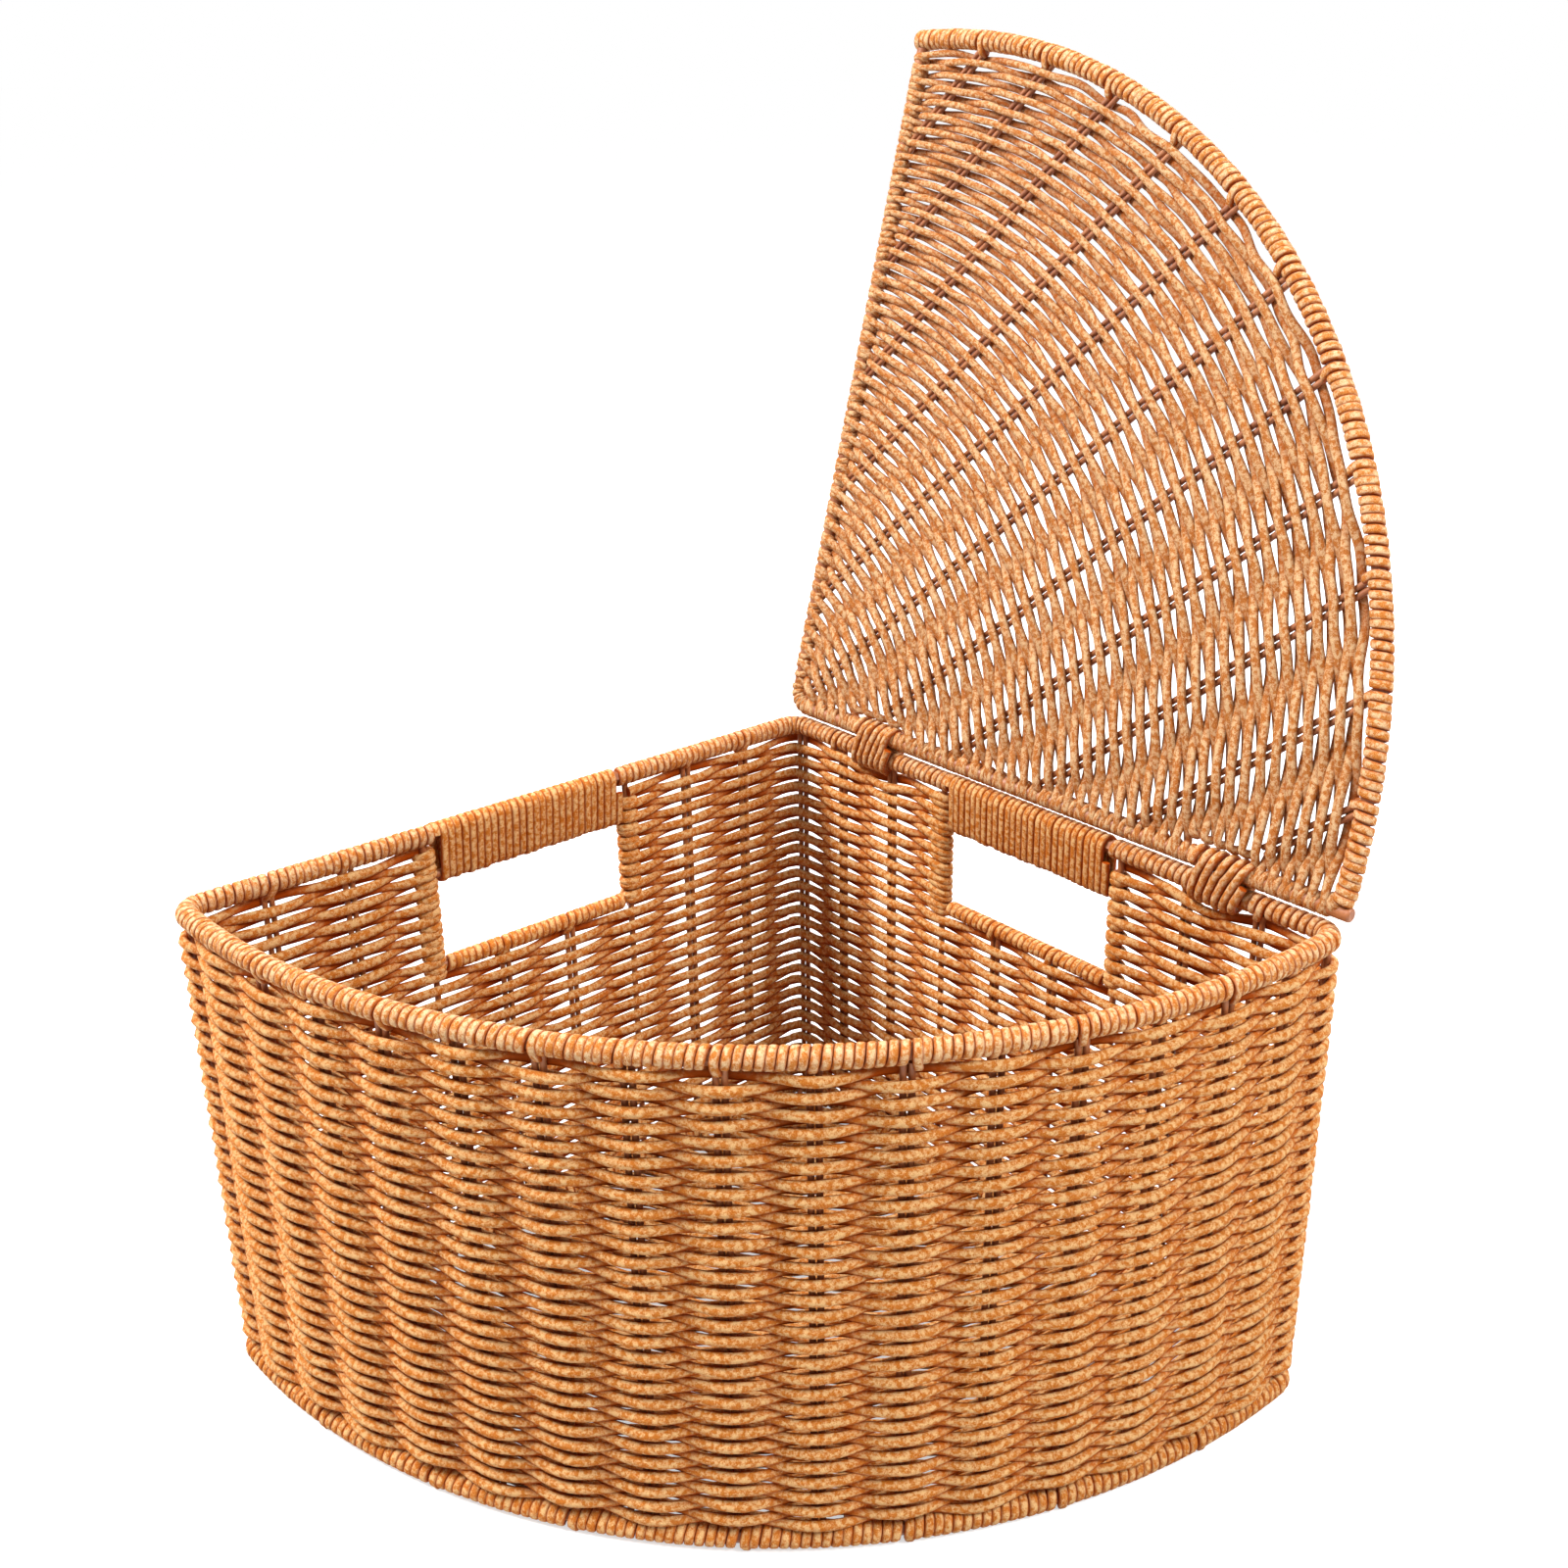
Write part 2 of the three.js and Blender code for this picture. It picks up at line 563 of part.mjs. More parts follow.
// Rows of slits in the lid, midway between neighbouring stakes.
const fan = panelStakes();
for (let space = 1; space < fan.length; space += 1) {
  const foot = fan[space - 1].foot.clone().lerp(fan[space].foot, 0.5);
  const tip = polar(arcCentre, lidInner, arcAngle((space + 0.5) / PANEL_ARC_SPACES));
  const inward = new THREE.Vector2().subVectors(foot, tip);
  const length = inward.length();
  inward.normalize();
  for (let deep = LID_SLIT_PITCH / 2; deep < length - LID_SLIT_EDGE; deep += LID_SLIT_PITCH) {
    const ends = [deep - SLIT_TALL / 2, deep + SLIT_TALL / 2]
      .map((distance) => at(tip.clone().addScaledVector(inward, distance), 0));
    lidRooms.push(slit(ends[0], ends[1], SLIT_WIDE, 2 * WEAVE));
  }
}

const lidPlan = [
  ...arcPoints(arcCentre, lidInner, lidTurn, -Math.PI / 2 - lidTurn, ARC_STEPS),
  ...backStretch(0),
];
const lidBead = [onSideWall(lidEnd), ...backStretch(0), onHingeWall(lidEnd)]
  .map((point) => at(point, 0));
const lidBody = join([
  plate(lidPlan, WEAVE, -half),
  sweep(lidBead, flatsAt(half, WOUND_SIDES), upwards),
]);
addPiece(lid, 'lid_weave', cut(lidBody, lidRooms), cordMaterial);

// Hinge bindings: turns of cord round the wound rim and the lid's hinge bar. The windows in the lid's weave
// are round about the hinge, so that the turns stay clear of the lid as it swings.
const bindingBelt = beltPoints(bindingUpper, bindingLower, HINGE_RISE);
bindingPlaces.forEach((place, index) => {
  const from = place - (BINDING_TURNS * BINDING_PITCH) / 2;
  const stations = windingStations(bindingBelt, BINDING_TURNS, from, BINDING_PITCH)
    .map(([distance, out, rise]) => new THREE.Vector3(distance, out, hingeZ + rise));
  const name = `hinge_binding_${index + 1}`;
  addWinding(name, stations, BINDING_TURNS, BIND_THICK, BIND_WIDE, at(alongHinge, 0));
});

export default basket;
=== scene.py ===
# %% [markdown]
# # A woven corner basket
# The basket is one long job of weaving: paper cord goes in and out of brown wire stakes, and the
# same cord is wound round the bars that hold the stakes. The solid model is loaded first as a fixed
# frame. It gives the places; everything soft is then woven here, strand by strand. A weave painted
# on a sheet would be quicker to make, but it would have no holes, no shadows and no true edge.

# %% Load the frame
import math
import random

import bmesh
import bpy
import numpy as np
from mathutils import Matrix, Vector


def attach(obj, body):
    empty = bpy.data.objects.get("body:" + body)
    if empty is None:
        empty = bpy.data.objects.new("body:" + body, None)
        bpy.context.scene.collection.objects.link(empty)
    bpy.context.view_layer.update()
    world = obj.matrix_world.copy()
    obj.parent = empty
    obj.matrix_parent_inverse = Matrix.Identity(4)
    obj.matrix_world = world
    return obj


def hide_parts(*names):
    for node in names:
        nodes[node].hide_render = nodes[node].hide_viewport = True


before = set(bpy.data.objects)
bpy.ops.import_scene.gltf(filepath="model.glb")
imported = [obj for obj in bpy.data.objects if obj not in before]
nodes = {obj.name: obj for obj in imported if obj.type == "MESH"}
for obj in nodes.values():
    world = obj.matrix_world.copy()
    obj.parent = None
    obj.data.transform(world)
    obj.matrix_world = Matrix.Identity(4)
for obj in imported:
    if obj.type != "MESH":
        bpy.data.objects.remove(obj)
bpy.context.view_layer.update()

scene = bpy.context.scene

# %% [markdown]
# ## Measures
# A basket maker thinks in millimetres, so the plan is kept in millimetres too, with the back corner
# at zero: the hinge wall runs along +X, the side wall along -Y and an arc joins their far ends. The
# points could be written in metres from the start, but the numbers would be hard to read.
# `to_metres` moves a list of points into the shared frame at the very end.

# %% Measures of the basket
SIDE = 320.0
ARC_INSET = 16.0
BEND = 9.0
BASE_Z, RIM_Z, HINGE_Z = 4.8, 215.8, 226.0
RAIL_Z, SILL_Z, NOTCH_Z = 196.3, 151.8, 147.6
WEAVE_FOOT, WEAVE_HEAD = 10.0, 209.7
HANDLE_FROM, HANDLE_TO = 111.6, 208.4
BINDINGS = (60.0, 264.0)
WALL_STEPS, FRONT_STEPS = 9, 16
WALL_STEP = SIDE / WALL_STEPS
BAR, WOUND = 6.0, 9.6
OPEN = math.radians(105.3)

ARC_RADIUS = math.hypot(SIDE - ARC_INSET, ARC_INSET)
END_BEND = ARC_INSET + math.sqrt((ARC_RADIUS - BEND) ** 2 - (ARC_INSET - BEND) ** 2)
RIGHT_TURN = math.atan2(ARC_INSET - BEND, END_BEND - ARC_INSET)
CORNER_ANGLE = math.atan2(ARC_INSET, SIDE - ARC_INSET)
ARC_SWEEP = math.pi / 2 + 2 * CORNER_ANGLE


def to_metres(points):
    """Plan millimetres to the shared frame, which has its zero in the middle of the hinge wall."""
    return (np.asarray(points, float) - [SIDE / 2, 0, 0]) / 1000


def lid_to_metres(points):
    """A point of the flat lid, turned up about its hinge to where the lid stands open."""
    p = np.asarray(points, float)
    c, s = math.cos(-OPEN), math.sin(-OPEN)
    y, z = p[:, 1] * c - p[:, 2] * s, p[:, 1] * s + p[:, 2] * c + HINGE_Z
    return to_metres(np.stack([p[:, 0], y, z], axis=1))


print("front arc radius", round(ARC_RADIUS, 1), "mm")

# %% [markdown]
# ## The walk round the walls
# Every row and every winding follows the same rounded triangle. Its bends and straights could be
# drawn as a curve object and followed with a modifier; a small function is easier to steer.
# `walk(distance, out)` gives the place after a walk of that length, with `out` the step outwards
# from the middle of the wall. The walk starts where the back corner's bend begins and goes by the
# hinge wall first.

# %% Walk round the walls
LEG = END_BEND - BEND
BACK_LENGTH = BEND * math.pi / 2
END_LENGTH = BEND * (math.pi / 2 - RIGHT_TURN)
ARC_LENGTH = ARC_RADIUS * (math.pi / 2 + 2 * RIGHT_TURN)
STRETCHES = np.cumsum([0, BACK_LENGTH, LEG, END_LENGTH, ARC_LENGTH, END_LENGTH, LEG])
ROUND = STRETCHES[-1]
HINGE_END, FRONT_END = STRETCHES[2], STRETCHES[5]
BENDS = {
    0: (BEND, -BEND, BEND, math.pi),
    2: (END_BEND, -BEND, BEND, math.pi / 2),
    3: (ARC_INSET, -ARC_INSET, ARC_RADIUS, RIGHT_TURN),
    4: (BEND, -END_BEND, BEND, -math.pi / 2 - RIGHT_TURN),
}


def walk(distance, out):
    t = np.mod(np.asarray(distance, float), ROUND)
    out = np.broadcast_to(np.asarray(out, float), t.shape)
    x, y = np.zeros_like(t), np.zeros_like(t)
    part = np.clip(np.searchsorted(STRETCHES, t, side="right") - 1, 0, 5)
    gone = t - STRETCHES[part]
    for number, (cx, cy, radius, start) in BENDS.items():
        here = part == number
        angle = start - gone[here] / radius
        x[here] = cx + (radius + out[here]) * np.cos(angle)
        y[here] = cy + (radius + out[here]) * np.sin(angle)
    here = part == 1
    x[here], y[here] = BEND + gone[here], out[here]
    here = part == 5
    x[here], y[here] = -out[here], -END_BEND + gone[here]
    return x, y


def on_hinge_wall(x):
    return BACK_LENGTH + x - BEND


def on_side_wall(y):
    return ROUND - (y - BEND)


def on_front(number):
    """The place of a front stake, counted from the right corner."""
    angle = CORNER_ANGLE - ARC_SWEEP * number / FRONT_STEPS
    return STRETCHES[3] + ARC_RADIUS * (RIGHT_TURN - angle)


print("one round of the walls is", round(ROUND), "mm")

# %% [markdown]
# ## Places of the stakes
# The stakes set the rhythm of the weave, since every row goes outside one and inside the next. They
# stand in the three corners and at even steps between, eight in each straight wall and fifteen in
# the front. One list of their places serves the rows, the ties of the windings and the stakes
# themselves. In the back corner the pair stands just past the crease, on the hinge wall's side.

# %% Places of the stakes
CREASE = BACK_LENGTH / 2
PAST_CREASE = 3.5
stake_walk = [CREASE + PAST_CREASE]
stake_walk += [on_hinge_wall(k * WALL_STEP) for k in range(1, WALL_STEPS)]
stake_walk += [STRETCHES[2] + END_LENGTH / 2]
stake_walk += [on_front(k) for k in range(1, FRONT_STEPS)]
stake_walk += [STRETCHES[4] + END_LENGTH / 2]
stake_walk += [on_side_wall(k * WALL_STEP) for k in range(WALL_STEPS - 1, 0, -1)]
stake_walk = np.array(stake_walk)
mean_step = float(np.diff(stake_walk).mean())
print(len(stake_walk), "stakes,", round(mean_step, 1), "mm apart on the average")

# %% [markdown]
# ## Camera
# The photograph was taken from above the curved front, with the basket large in the frame. A camera
# can be moved by eye until it looks right. Here its place comes from fitting the basket's corners
# to the picture, which gives the lens and the small shift of the frame as well, so that the
# outlines can be compared.

# %% Camera
PICTURE, SENSOR = 1600, 36
FOCAL, MIDDLE_X, MIDDLE_Y = 1795.8, 872.17, 813.53
EYE, AIM = (2.00672, -1.69400, 1.62471), (0.48054, -0.31111, 0.76594)
camera_data = bpy.data.cameras.new("camera")
camera_data.lens = FOCAL / PICTURE * SENSOR
camera_data.shift_x = (PICTURE / 2 - MIDDLE_X) / PICTURE
camera_data.shift_y = (MIDDLE_Y - PICTURE / 2) / PICTURE
camera = bpy.data.objects.new("camera", camera_data)
eye, aim = to_metres(np.array([EYE, AIM]) * SIDE + [0, 0, BASE_Z])
camera.location = eye
camera.rotation_euler = (Vector(aim) - camera.location).to_track_quat("-Z", "Y").to_euler()
scene.collection.objects.link(camera)
scene.camera = camera
print("camera at", tuple(round(v, 3) for v in camera.location))

# %% [markdown]
# ## Short words for nodes
# Materials are nets of nodes, and each node takes three or four lines to make and join. A few
# helpers say the same in one line: `add_node` makes one, `feed` gives a socket a link or a plain
# value, and the others make what comes back again and again.

# %% Node helpers
def add_node(tree, kind, **settings):
    node = tree.nodes.new(kind)
    for key, value in settings.items():
        setattr(node, key, value)
    return node


def feed(tree, node, socket, value):
    if hasattr(value, "is_output"):
        tree.links.new(value, node.inputs[socket])
    else:
        node.inputs[socket].default_value = value


def calc(tree, operation, a, b=0.0, c=0.0):
    node = add_node(tree, "ShaderNodeMath", operation=operation)
    for socket, value in enumerate((a, b, c)):
        feed(tree, node, socket, value)
    return node.outputs[0]


def noise(tree, vector, scale, detail, rough):
    node = add_node(tree, "ShaderNodeTexNoise")
    entries = (("Vector", vector), ("Scale", scale), ("Detail", detail), ("Roughness", rough))
    for socket, value in entries:
        feed(tree, node, socket, value)
    return node.outputs["Fac"]


def spread(tree, value, low, high):
    node = add_node(tree, "ShaderNodeMapRange", interpolation_type="SMOOTHSTEP")
    for socket, entry in (("Value", value), ("From Min", low), ("From Max", high)):
        feed(tree, node, socket, entry)
    return node.outputs["Result"]


print("node helpers are ready")

# %% [markdown]
# ## Short words for materials
# A finish is a Principled shader with a few nodes before it. `new_material` hands out what the rest
# needs: the material, its tree and its shader. Mixing two colours and joining a bump could be
# written out each time, but copied lines soon differ, so each is a helper.

# %% Material helpers
def blend_colour(tree, factor, first, second):
    node = add_node(tree, "ShaderNodeMix", data_type="RGBA")
    feed(tree, node, "Factor", factor)
    colours = [number for number, entry in enumerate(node.inputs) if entry.type == "RGBA"]
    feed(tree, node, colours[0], first)
    feed(tree, node, colours[1], second)
    return next(entry for entry in node.outputs if entry.type == "RGBA")


def new_material(name):
    material = bpy.data.materials.new(name)
    material.use_nodes = True
    return material, material.node_tree, material.node_tree.nodes["Principled BSDF"]


def add_relief(tree, bsdf, strength, distance, height):
    """Bump for a shader; the distance is in metres."""
    node = add_node(tree, "ShaderNodeBump")
    for socket, value in (("Strength", strength), ("Distance", distance), ("Height", height)):
        feed(tree, node, socket, value)
    feed(tree, bsdf, "Normal", node.outputs["Normal"])


print("material helpers are ready")

# %% [markdown]
# ## Pale floor
# The basket stands in a white light tent. A floor that is truly white would throw so much light up
# that the front and the inside would look equally bright. So the floor is a pale grey that also
# glows for the camera alone: Light Path tells a camera ray from a ray that carries light. Near the
# basket, where the lamps reach, it glows less, so that the basket's soft shadow still shows.

# %% Pale floor
TENT_LIGHT = 0.40
FLOOR_PALE = 0.55
FAR_GLOW = 1.0 - FLOOR_PALE * TENT_LIGHT
NEAR_GLOW = 0.6
GLOW_FROM, GLOW_TO = 0.35, 0.9
FLOOR_HALF = 40
BASKET_MIDDLE = SIDE * 0.42


def seen_directly(tree):
    """One for what the camera sees, directly, mirrored or through glass; nought for lighting."""
    rays = add_node(tree, "ShaderNodeLightPath").outputs
    share = calc(tree, "MAXIMUM", rays["Is Camera Ray"], rays["Is Glossy Ray"])
    return calc(tree, "MAXIMUM", share, rays["Is Transmission Ray"])


shape = bmesh.new()
bmesh.ops.create_grid(shape, x_segments=1, y_segments=1, size=FLOOR_HALF)
floor_mesh = bpy.data.meshes.new("floor")
shape.to_mesh(floor_mesh)
shape.free()
floor = bpy.data.objects.new("floor", floor_mesh)
scene.collection.objects.link(floor)

floor_paint, tree, bsdf = new_material("pale_floor")
feed(tree, bsdf, "Base Color", (FLOOR_PALE, FLOOR_PALE, FLOOR_PALE, 1))
feed(tree, bsdf, "Roughness", 0.9)
feed(tree, bsdf, "Specular IOR Level", 0.0)
feed(tree, bsdf, "Emission Color", (1, 1, 1, 1))
from_middle = add_node(tree, "ShaderNodeVectorMath", operation="DISTANCE")
feed(tree, from_middle, 0, add_node(tree, "ShaderNodeTexCoord").outputs["Object"])
feed(tree, from_middle, 1, to_metres([[BASKET_MIDDLE, -BASKET_MIDDLE, 0]])[0])
away = spread(tree, from_middle.outputs["Value"], GLOW_FROM, GLOW_TO)
glow = calc(tree, "MULTIPLY_ADD", away, FAR_GLOW - NEAR_GLOW, NEAR_GLOW)
feed(tree, bsdf, "Emission Strength", calc(tree, "MULTIPLY", seen_directly(tree), glow))
floor_mesh.materials.append(floor_paint)
print("floor glows from", NEAR_GLOW, "to", round(FAR_GLOW, 2), "for the camera")

# %% [markdown]
# ## Soft light
# In the photograph the weave is lit softly from both sides, and the shadows sit between the
# strands, not on the floor. One big lamp over the camera would flatten the weave. So the tent gives
# an even light from everywhere, two wide lamps stand left and right of the front, and weak ones
# above and behind fill in.

# %% Light tent and lamps
world = bpy.data.worlds.new("light_tent")
world.use_nodes = True
scene.world = world
tree = world.node_tree
back = tree.nodes["Background"]
feed(tree, back, "Color", (1, 1, 1, 1))
brightness = calc(tree, "MULTIPLY_ADD", seen_directly(tree), 1 - TENT_LIGHT, TENT_LIGHT)
feed(tree, back, "Strength", brightness)


def soft_lamp(name, place, size, watts):
    data = bpy.data.lights.new(name, "AREA")
    data.shape = "DISK"
    data.size = size
    data.energy = watts
    lamp = bpy.data.objects.new(name, data)
    lamp.location = place
    lamp.rotation_euler = (LAMP_AIM - Vector(place)).to_track_quat("-Z", "Y").to_euler()
    scene.collection.objects.link(lamp)
    print("lamp", name, watts, "W")


LAMP_AIM = Vector((0, -0.1, 0.2))
soft_lamp("top", (0.3, -0.95, 2.2), 1.2, 4)
soft_lamp("left", (-1.0, -1.25, 1.95), 1.0, 89)
soft_lamp("right", (1.38, 0.30, 1.75), 1.0, 49)
soft_lamp("behind", (-0.75, 1.5, 1.1), 1.0, 26)
scene.view_settings.view_transform = "Standard"

# %% [markdown]
# ## Paper cord: a map of the strand
# Close up, the cord is a strip of kraft paper twisted into a string. Its mottle and its twist
# follow every bend, so they can't be read from places in space. Each strand has a UV map instead,
# where U is metres along the strand and V goes once round it. Going round, V jumps from one to
# nought; its cosine and sine don't, so the patterns are read from those and show no seam.

# %% Twisted paper: place on the strand
paper = bpy.data.node_groups.new("twisted_paper", "ShaderNodeTree")
# The fourth colour is painted shade, for cord that lies deep in the weave.
for label in ("Honey", "Pale", "Rust", "Groove"):
    paper.interface.new_socket(label, in_out="INPUT", socket_type="NodeSocketColor")
for label, kind in (("Colour", "Color"), ("Roughness", "Float"), ("Height", "Float")):
    paper.interface.new_socket(label, in_out="OUTPUT", socket_type="NodeSocket" + kind)
paper_in, paper_out = paper.nodes.new("NodeGroupInput"), paper.nodes.new("NodeGroupOutput")

parts = add_node(paper, "ShaderNodeSeparateXYZ")
feed(paper, parts, 0, add_node(paper, "ShaderNodeUVMap", uv_map="strand").outputs["UV"])
along, around = parts.outputs["X"], calc(paper, "MULTIPLY", parts.outputs["Y"], 2 * math.pi)
side_x, side_y = calc(paper, "COSINE", around), calc(paper, "SINE", around)


def strand_vector(per_metre, across):
    node = add_node(paper, "ShaderNodeCombineXYZ")
    entries = ((along, per_metre), (side_x, across), (side_y, across))
    for socket, (value, scale) in enumerate(entries):
        feed(paper, node, socket, calc(paper, "MULTIPLY", value, scale))
    return node.outputs[0]


print("strand map read through", len(paper.nodes), "nodes")

# %% [markdown]
# ## Paper cord: mottle, creases and twist
# The paper is honey in the main, with pale flecks where it is thin and rusty lines in its creases,
# and the twist leaves faint slanting ridges. One noise gives the flecks and a slow one the change
# of tone along the cord. The creases are the edges of a Voronoi pattern, pushed about so that they
# come out wrinkled. Where strands lie against each other the colour is painted darker, as shade;
# each mesh brings that along as an attribute.

# %% Twisted paper: colour and relief
def wrinkled(vector, scale, size):
    """A vector pushed about by a noise."""
    node = add_node(paper, "ShaderNodeTexNoise")
    feed(paper, node, "Vector", vector)
    feed(paper, node, "Scale", scale)
    push = add_node(paper, "ShaderNodeVectorMath", operation="MULTIPLY_ADD")
    feed(paper, push, 0, node.outputs["Color"])
    feed(paper, push, 1, (size, size, size))
    feed(paper, push, 2, vector)
    return push.outputs[0]


TWISTS_PER_METRE = 210
creases = add_node(paper, "ShaderNodeTexVoronoi", feature="DISTANCE_TO_EDGE")
feed(paper, creases, "Vector", wrinkled(strand_vector(600, 1.2), 1.3, 0.9))
vein = calc(paper, "SUBTRACT", 1.0, spread(paper, creases.outputs["Distance"], 0.02, 0.3))
mottle = noise(paper, strand_vector(480, 0.96), 1.0, 3, 0.65)
tone = noise(paper, strand_vector(9, 0.05), 1.0, 2, 0.5)
slant = calc(paper, "MULTIPLY", around, 2.0)
twist = calc(paper, "MULTIPLY_ADD", along, 2 * math.pi * TWISTS_PER_METRE, slant)
ridges = calc(paper, "SINE", twist)

flecks = calc(paper, "MULTIPLY", spread(paper, mottle, 0.4, 0.58), 0.9)
pale_share = calc(paper, "MULTIPLY_ADD", tone, 0.25, flecks)
between = calc(paper, "MULTIPLY_ADD", spread(paper, mottle, 0.66, 0.4), 0.5, 0.42)
warm = blend_colour(paper, pale_share, paper_in.outputs["Honey"], paper_in.outputs["Pale"])
rusty_share = calc(paper, "MULTIPLY", vein, between)
mottled = blend_colour(paper, rusty_share, warm, paper_in.outputs["Rust"])
# Painted shade: the colour turns to the darkest one where the strand's attribute says it lies deep.
painted_shade = add_node(paper, "ShaderNodeAttribute", attribute_name="painted_shade_depth").outputs["Fac"]
feed(paper, paper_out, "Colour", blend_colour(paper, painted_shade, mottled, paper_in.outputs["Groove"]))
feed(paper, paper_out, "Roughness", calc(paper, "MULTIPLY_ADD", vein, 0.2, 0.5))
wrinkles = calc(paper, "MULTIPLY_ADD", vein, -0.6, mottle)
feed(paper, paper_out, "Height", calc(paper, "MULTIPLY_ADD", ridges, 0.15, wrinkles))
print("paper cord has", len(paper.nodes), "nodes in its group")

# %% [markdown]
# ## Three papers
# The walls are woven from a warm, strong cord. The lid's cord is a shade greyer, and the tight
# windings have rubbed paler. Three whole materials could be built, but only their colours differ.
# So each is a Principled shader with the same group before it. The cord is matt, and that is one
# number on the shader's own socket.

# %% Paper finishes
def paper_material(name, bump, **colours):
    material, tree, bsdf = new_material(name)
    group = add_node(tree, "ShaderNodeGroup", node_tree=paper)
    for socket, colour in colours.items():
        feed(tree, group, socket, (*colour, 1))
    feed(tree, bsdf, "Base Color", group.outputs["Colour"])
    feed(tree, bsdf, "Roughness", group.outputs["Roughness"])
    feed(tree, bsdf, "Specular IOR Level", 0.08)
    add_relief(tree, bsdf, bump, 0.0005, group.outputs["Height"])
    print(name, "has its own", ", ".join(colours))
    return material


# The last colour of each paper is painted shade for the hollows of the weave.
weave_paper = paper_material(
    "woven_paper_cord", 0.45,
    Honey=(0.60, 0.215, 0.020), Pale=(0.80, 0.54, 0.24),
    Rust=(0.42, 0.085, 0.004), Groove=(0.38, 0.06, 0.002),
)
lid_paper = paper_material(
    "lid_paper_cord", 0.45,
    Honey=(0.52, 0.205, 0.033), Pale=(0.73, 0.52, 0.28),
    Rust=(0.33, 0.065, 0.005), Groove=(0.30, 0.050, 0.003),
)
wound_paper = paper_material(
    "wound_paper_cord", 0.4,
    Honey=(0.58, 0.24, 0.040), Pale=(0.77, 0.57, 0.32),
    Rust=(0.42, 0.095, 0.006), Groove=(0.34, 0.055, 0.002),
)

# %% [markdown]
# ## Brown coating on bars and stakes
# The bars and stakes are wire dipped in brown paint. Little of them shows, but it shows everywhere,
# as dark ticks between the strands and as bare rod ends at the lid's corners. The coat is satin,
# with worn, slightly lighter patches and a fine grain. These rods are stiff, so Object coordinates
# serve well for the pattern.

# %% Brown coat
DARK_COAT, WORN_COAT = (0.25, 0.070, 0.018, 1), (0.42, 0.15, 0.05, 1)
brown, tree, bsdf = new_material("brown_coat")
place = add_node(tree, "ShaderNodeTexCoord").outputs["Object"]
patches = spread(tree, noise(tree, place, 90.0, 4, 0.6), 0.35, 0.7)
specks = noise(tree, place, 900.0, 2, 0.5)
feed(tree, bsdf, "Base Color", blend_colour(tree, patches, DARK_COAT, WORN_COAT))
feed(tree, bsdf, "Roughness", calc(tree, "MULTIPLY_ADD", specks, 0.3, 0.32))
add_relief(tree, bsdf, 0.25, 0.0003, specks)
for node in nodes.values():
    node.data.materials.clear()
    node.data.materials.append(brown)
print("brown coat on", len(nodes), "nodes")

# %% [markdown]
# ## From a line to a strand
# A strand is a tube along a line. A curve with a bevel makes that tube, and it takes a radius at
# every point, so a cord can be thin where it is squeezed. A curve carries no UV map or attribute of
# its own, so it is made a mesh at once.

# %% Tube along lines
def tube_mesh(name, runs, thick, profile, sides, radii):
    curve = bpy.data.curves.new(name, "CURVE")
    curve.dimensions = "3D"
    curve.use_fill_caps = True
    curve.twist_mode = "Z_UP" if profile else "MINIMUM"
    if profile:
        curve.bevel_mode = "OBJECT"
        curve.bevel_object = profile
    else:
        curve.bevel_depth = thick / 2000
        curve.bevel_resolution = sides // 2 - 2
    for number, run in enumerate(runs):
        line = curve.splines.new("POLY")
        line.points.add(len(run) - 1)
        line.points.foreach_set("co", np.column_stack([run, np.ones(len(run))]).ravel())
        if radii is not None:
            radius = np.broadcast_to(np.asarray(radii[number], float), len(run))
            line.points.foreach_set("radius", radius.copy())
    shape = bpy.data.objects.new(name, curve)
    scene.collection.objects.link(shape)
    ready = bpy.context.evaluated_depsgraph_get()
    mesh = bpy.data.meshes.new_from_object(shape.evaluated_get(ready))
    bpy.data.objects.remove(shape)
    mesh.name = name
    mesh.materials.clear()
    return mesh


print("tubes are made with", bpy.app.version_string)

# %% [markdown]
# ## The strand's own map
# The paper needs to know how far along the strand and how far round it every corner lies.
# Unwrapping would only guess. A curve's mesh comes in rings, one ring per point after the end caps,
# so both follow from the vertex number. Every strand starts at another place of the paper, so that
# no two look alike.

# %% Map of a strand
START_STEP = 0.37


def map_strand(mesh, runs, sides, caps, start):
    gone = []
    for number, run in enumerate(runs):
        steps = np.linalg.norm(np.diff(run, axis=0), axis=1)
        first = START_STEP * number if start is None else start[number]
        gone.append(first + np.concatenate([[0], np.cumsum(steps)]))
    gone = np.repeat(np.concatenate(gone), sides)
    ring = np.arange(len(gone)) % sides
    corner = np.empty(len(mesh.loops), int)
    mesh.loops.foreach_get("vertex_index", corner)
    totals = np.empty(len(mesh.polygons), int)
    mesh.polygons.foreach_get("loop_total", totals)
    face = np.repeat(np.arange(len(totals)), totals)
    body = corner >= caps
    u, v = np.zeros(len(corner)), np.zeros(len(corner))
    u[body] = gone[corner[body] - caps]
    v[body] = ring[corner[body] - caps] / sides
    closing = np.zeros(len(totals), bool)
    np.logical_or.at(closing, face[body], ring[corner[body] - caps] == sides - 1)
    v[body & closing[face] & (v < 0.5 / sides)] = 1.0
    for layer in list(mesh.uv_layers):
        mesh.uv_layers.remove(layer)
    mesh.uv_layers.new(name="strand").data.foreach_set("uv", np.column_stack([u, v]).ravel())


print("strands get the map 'strand'")
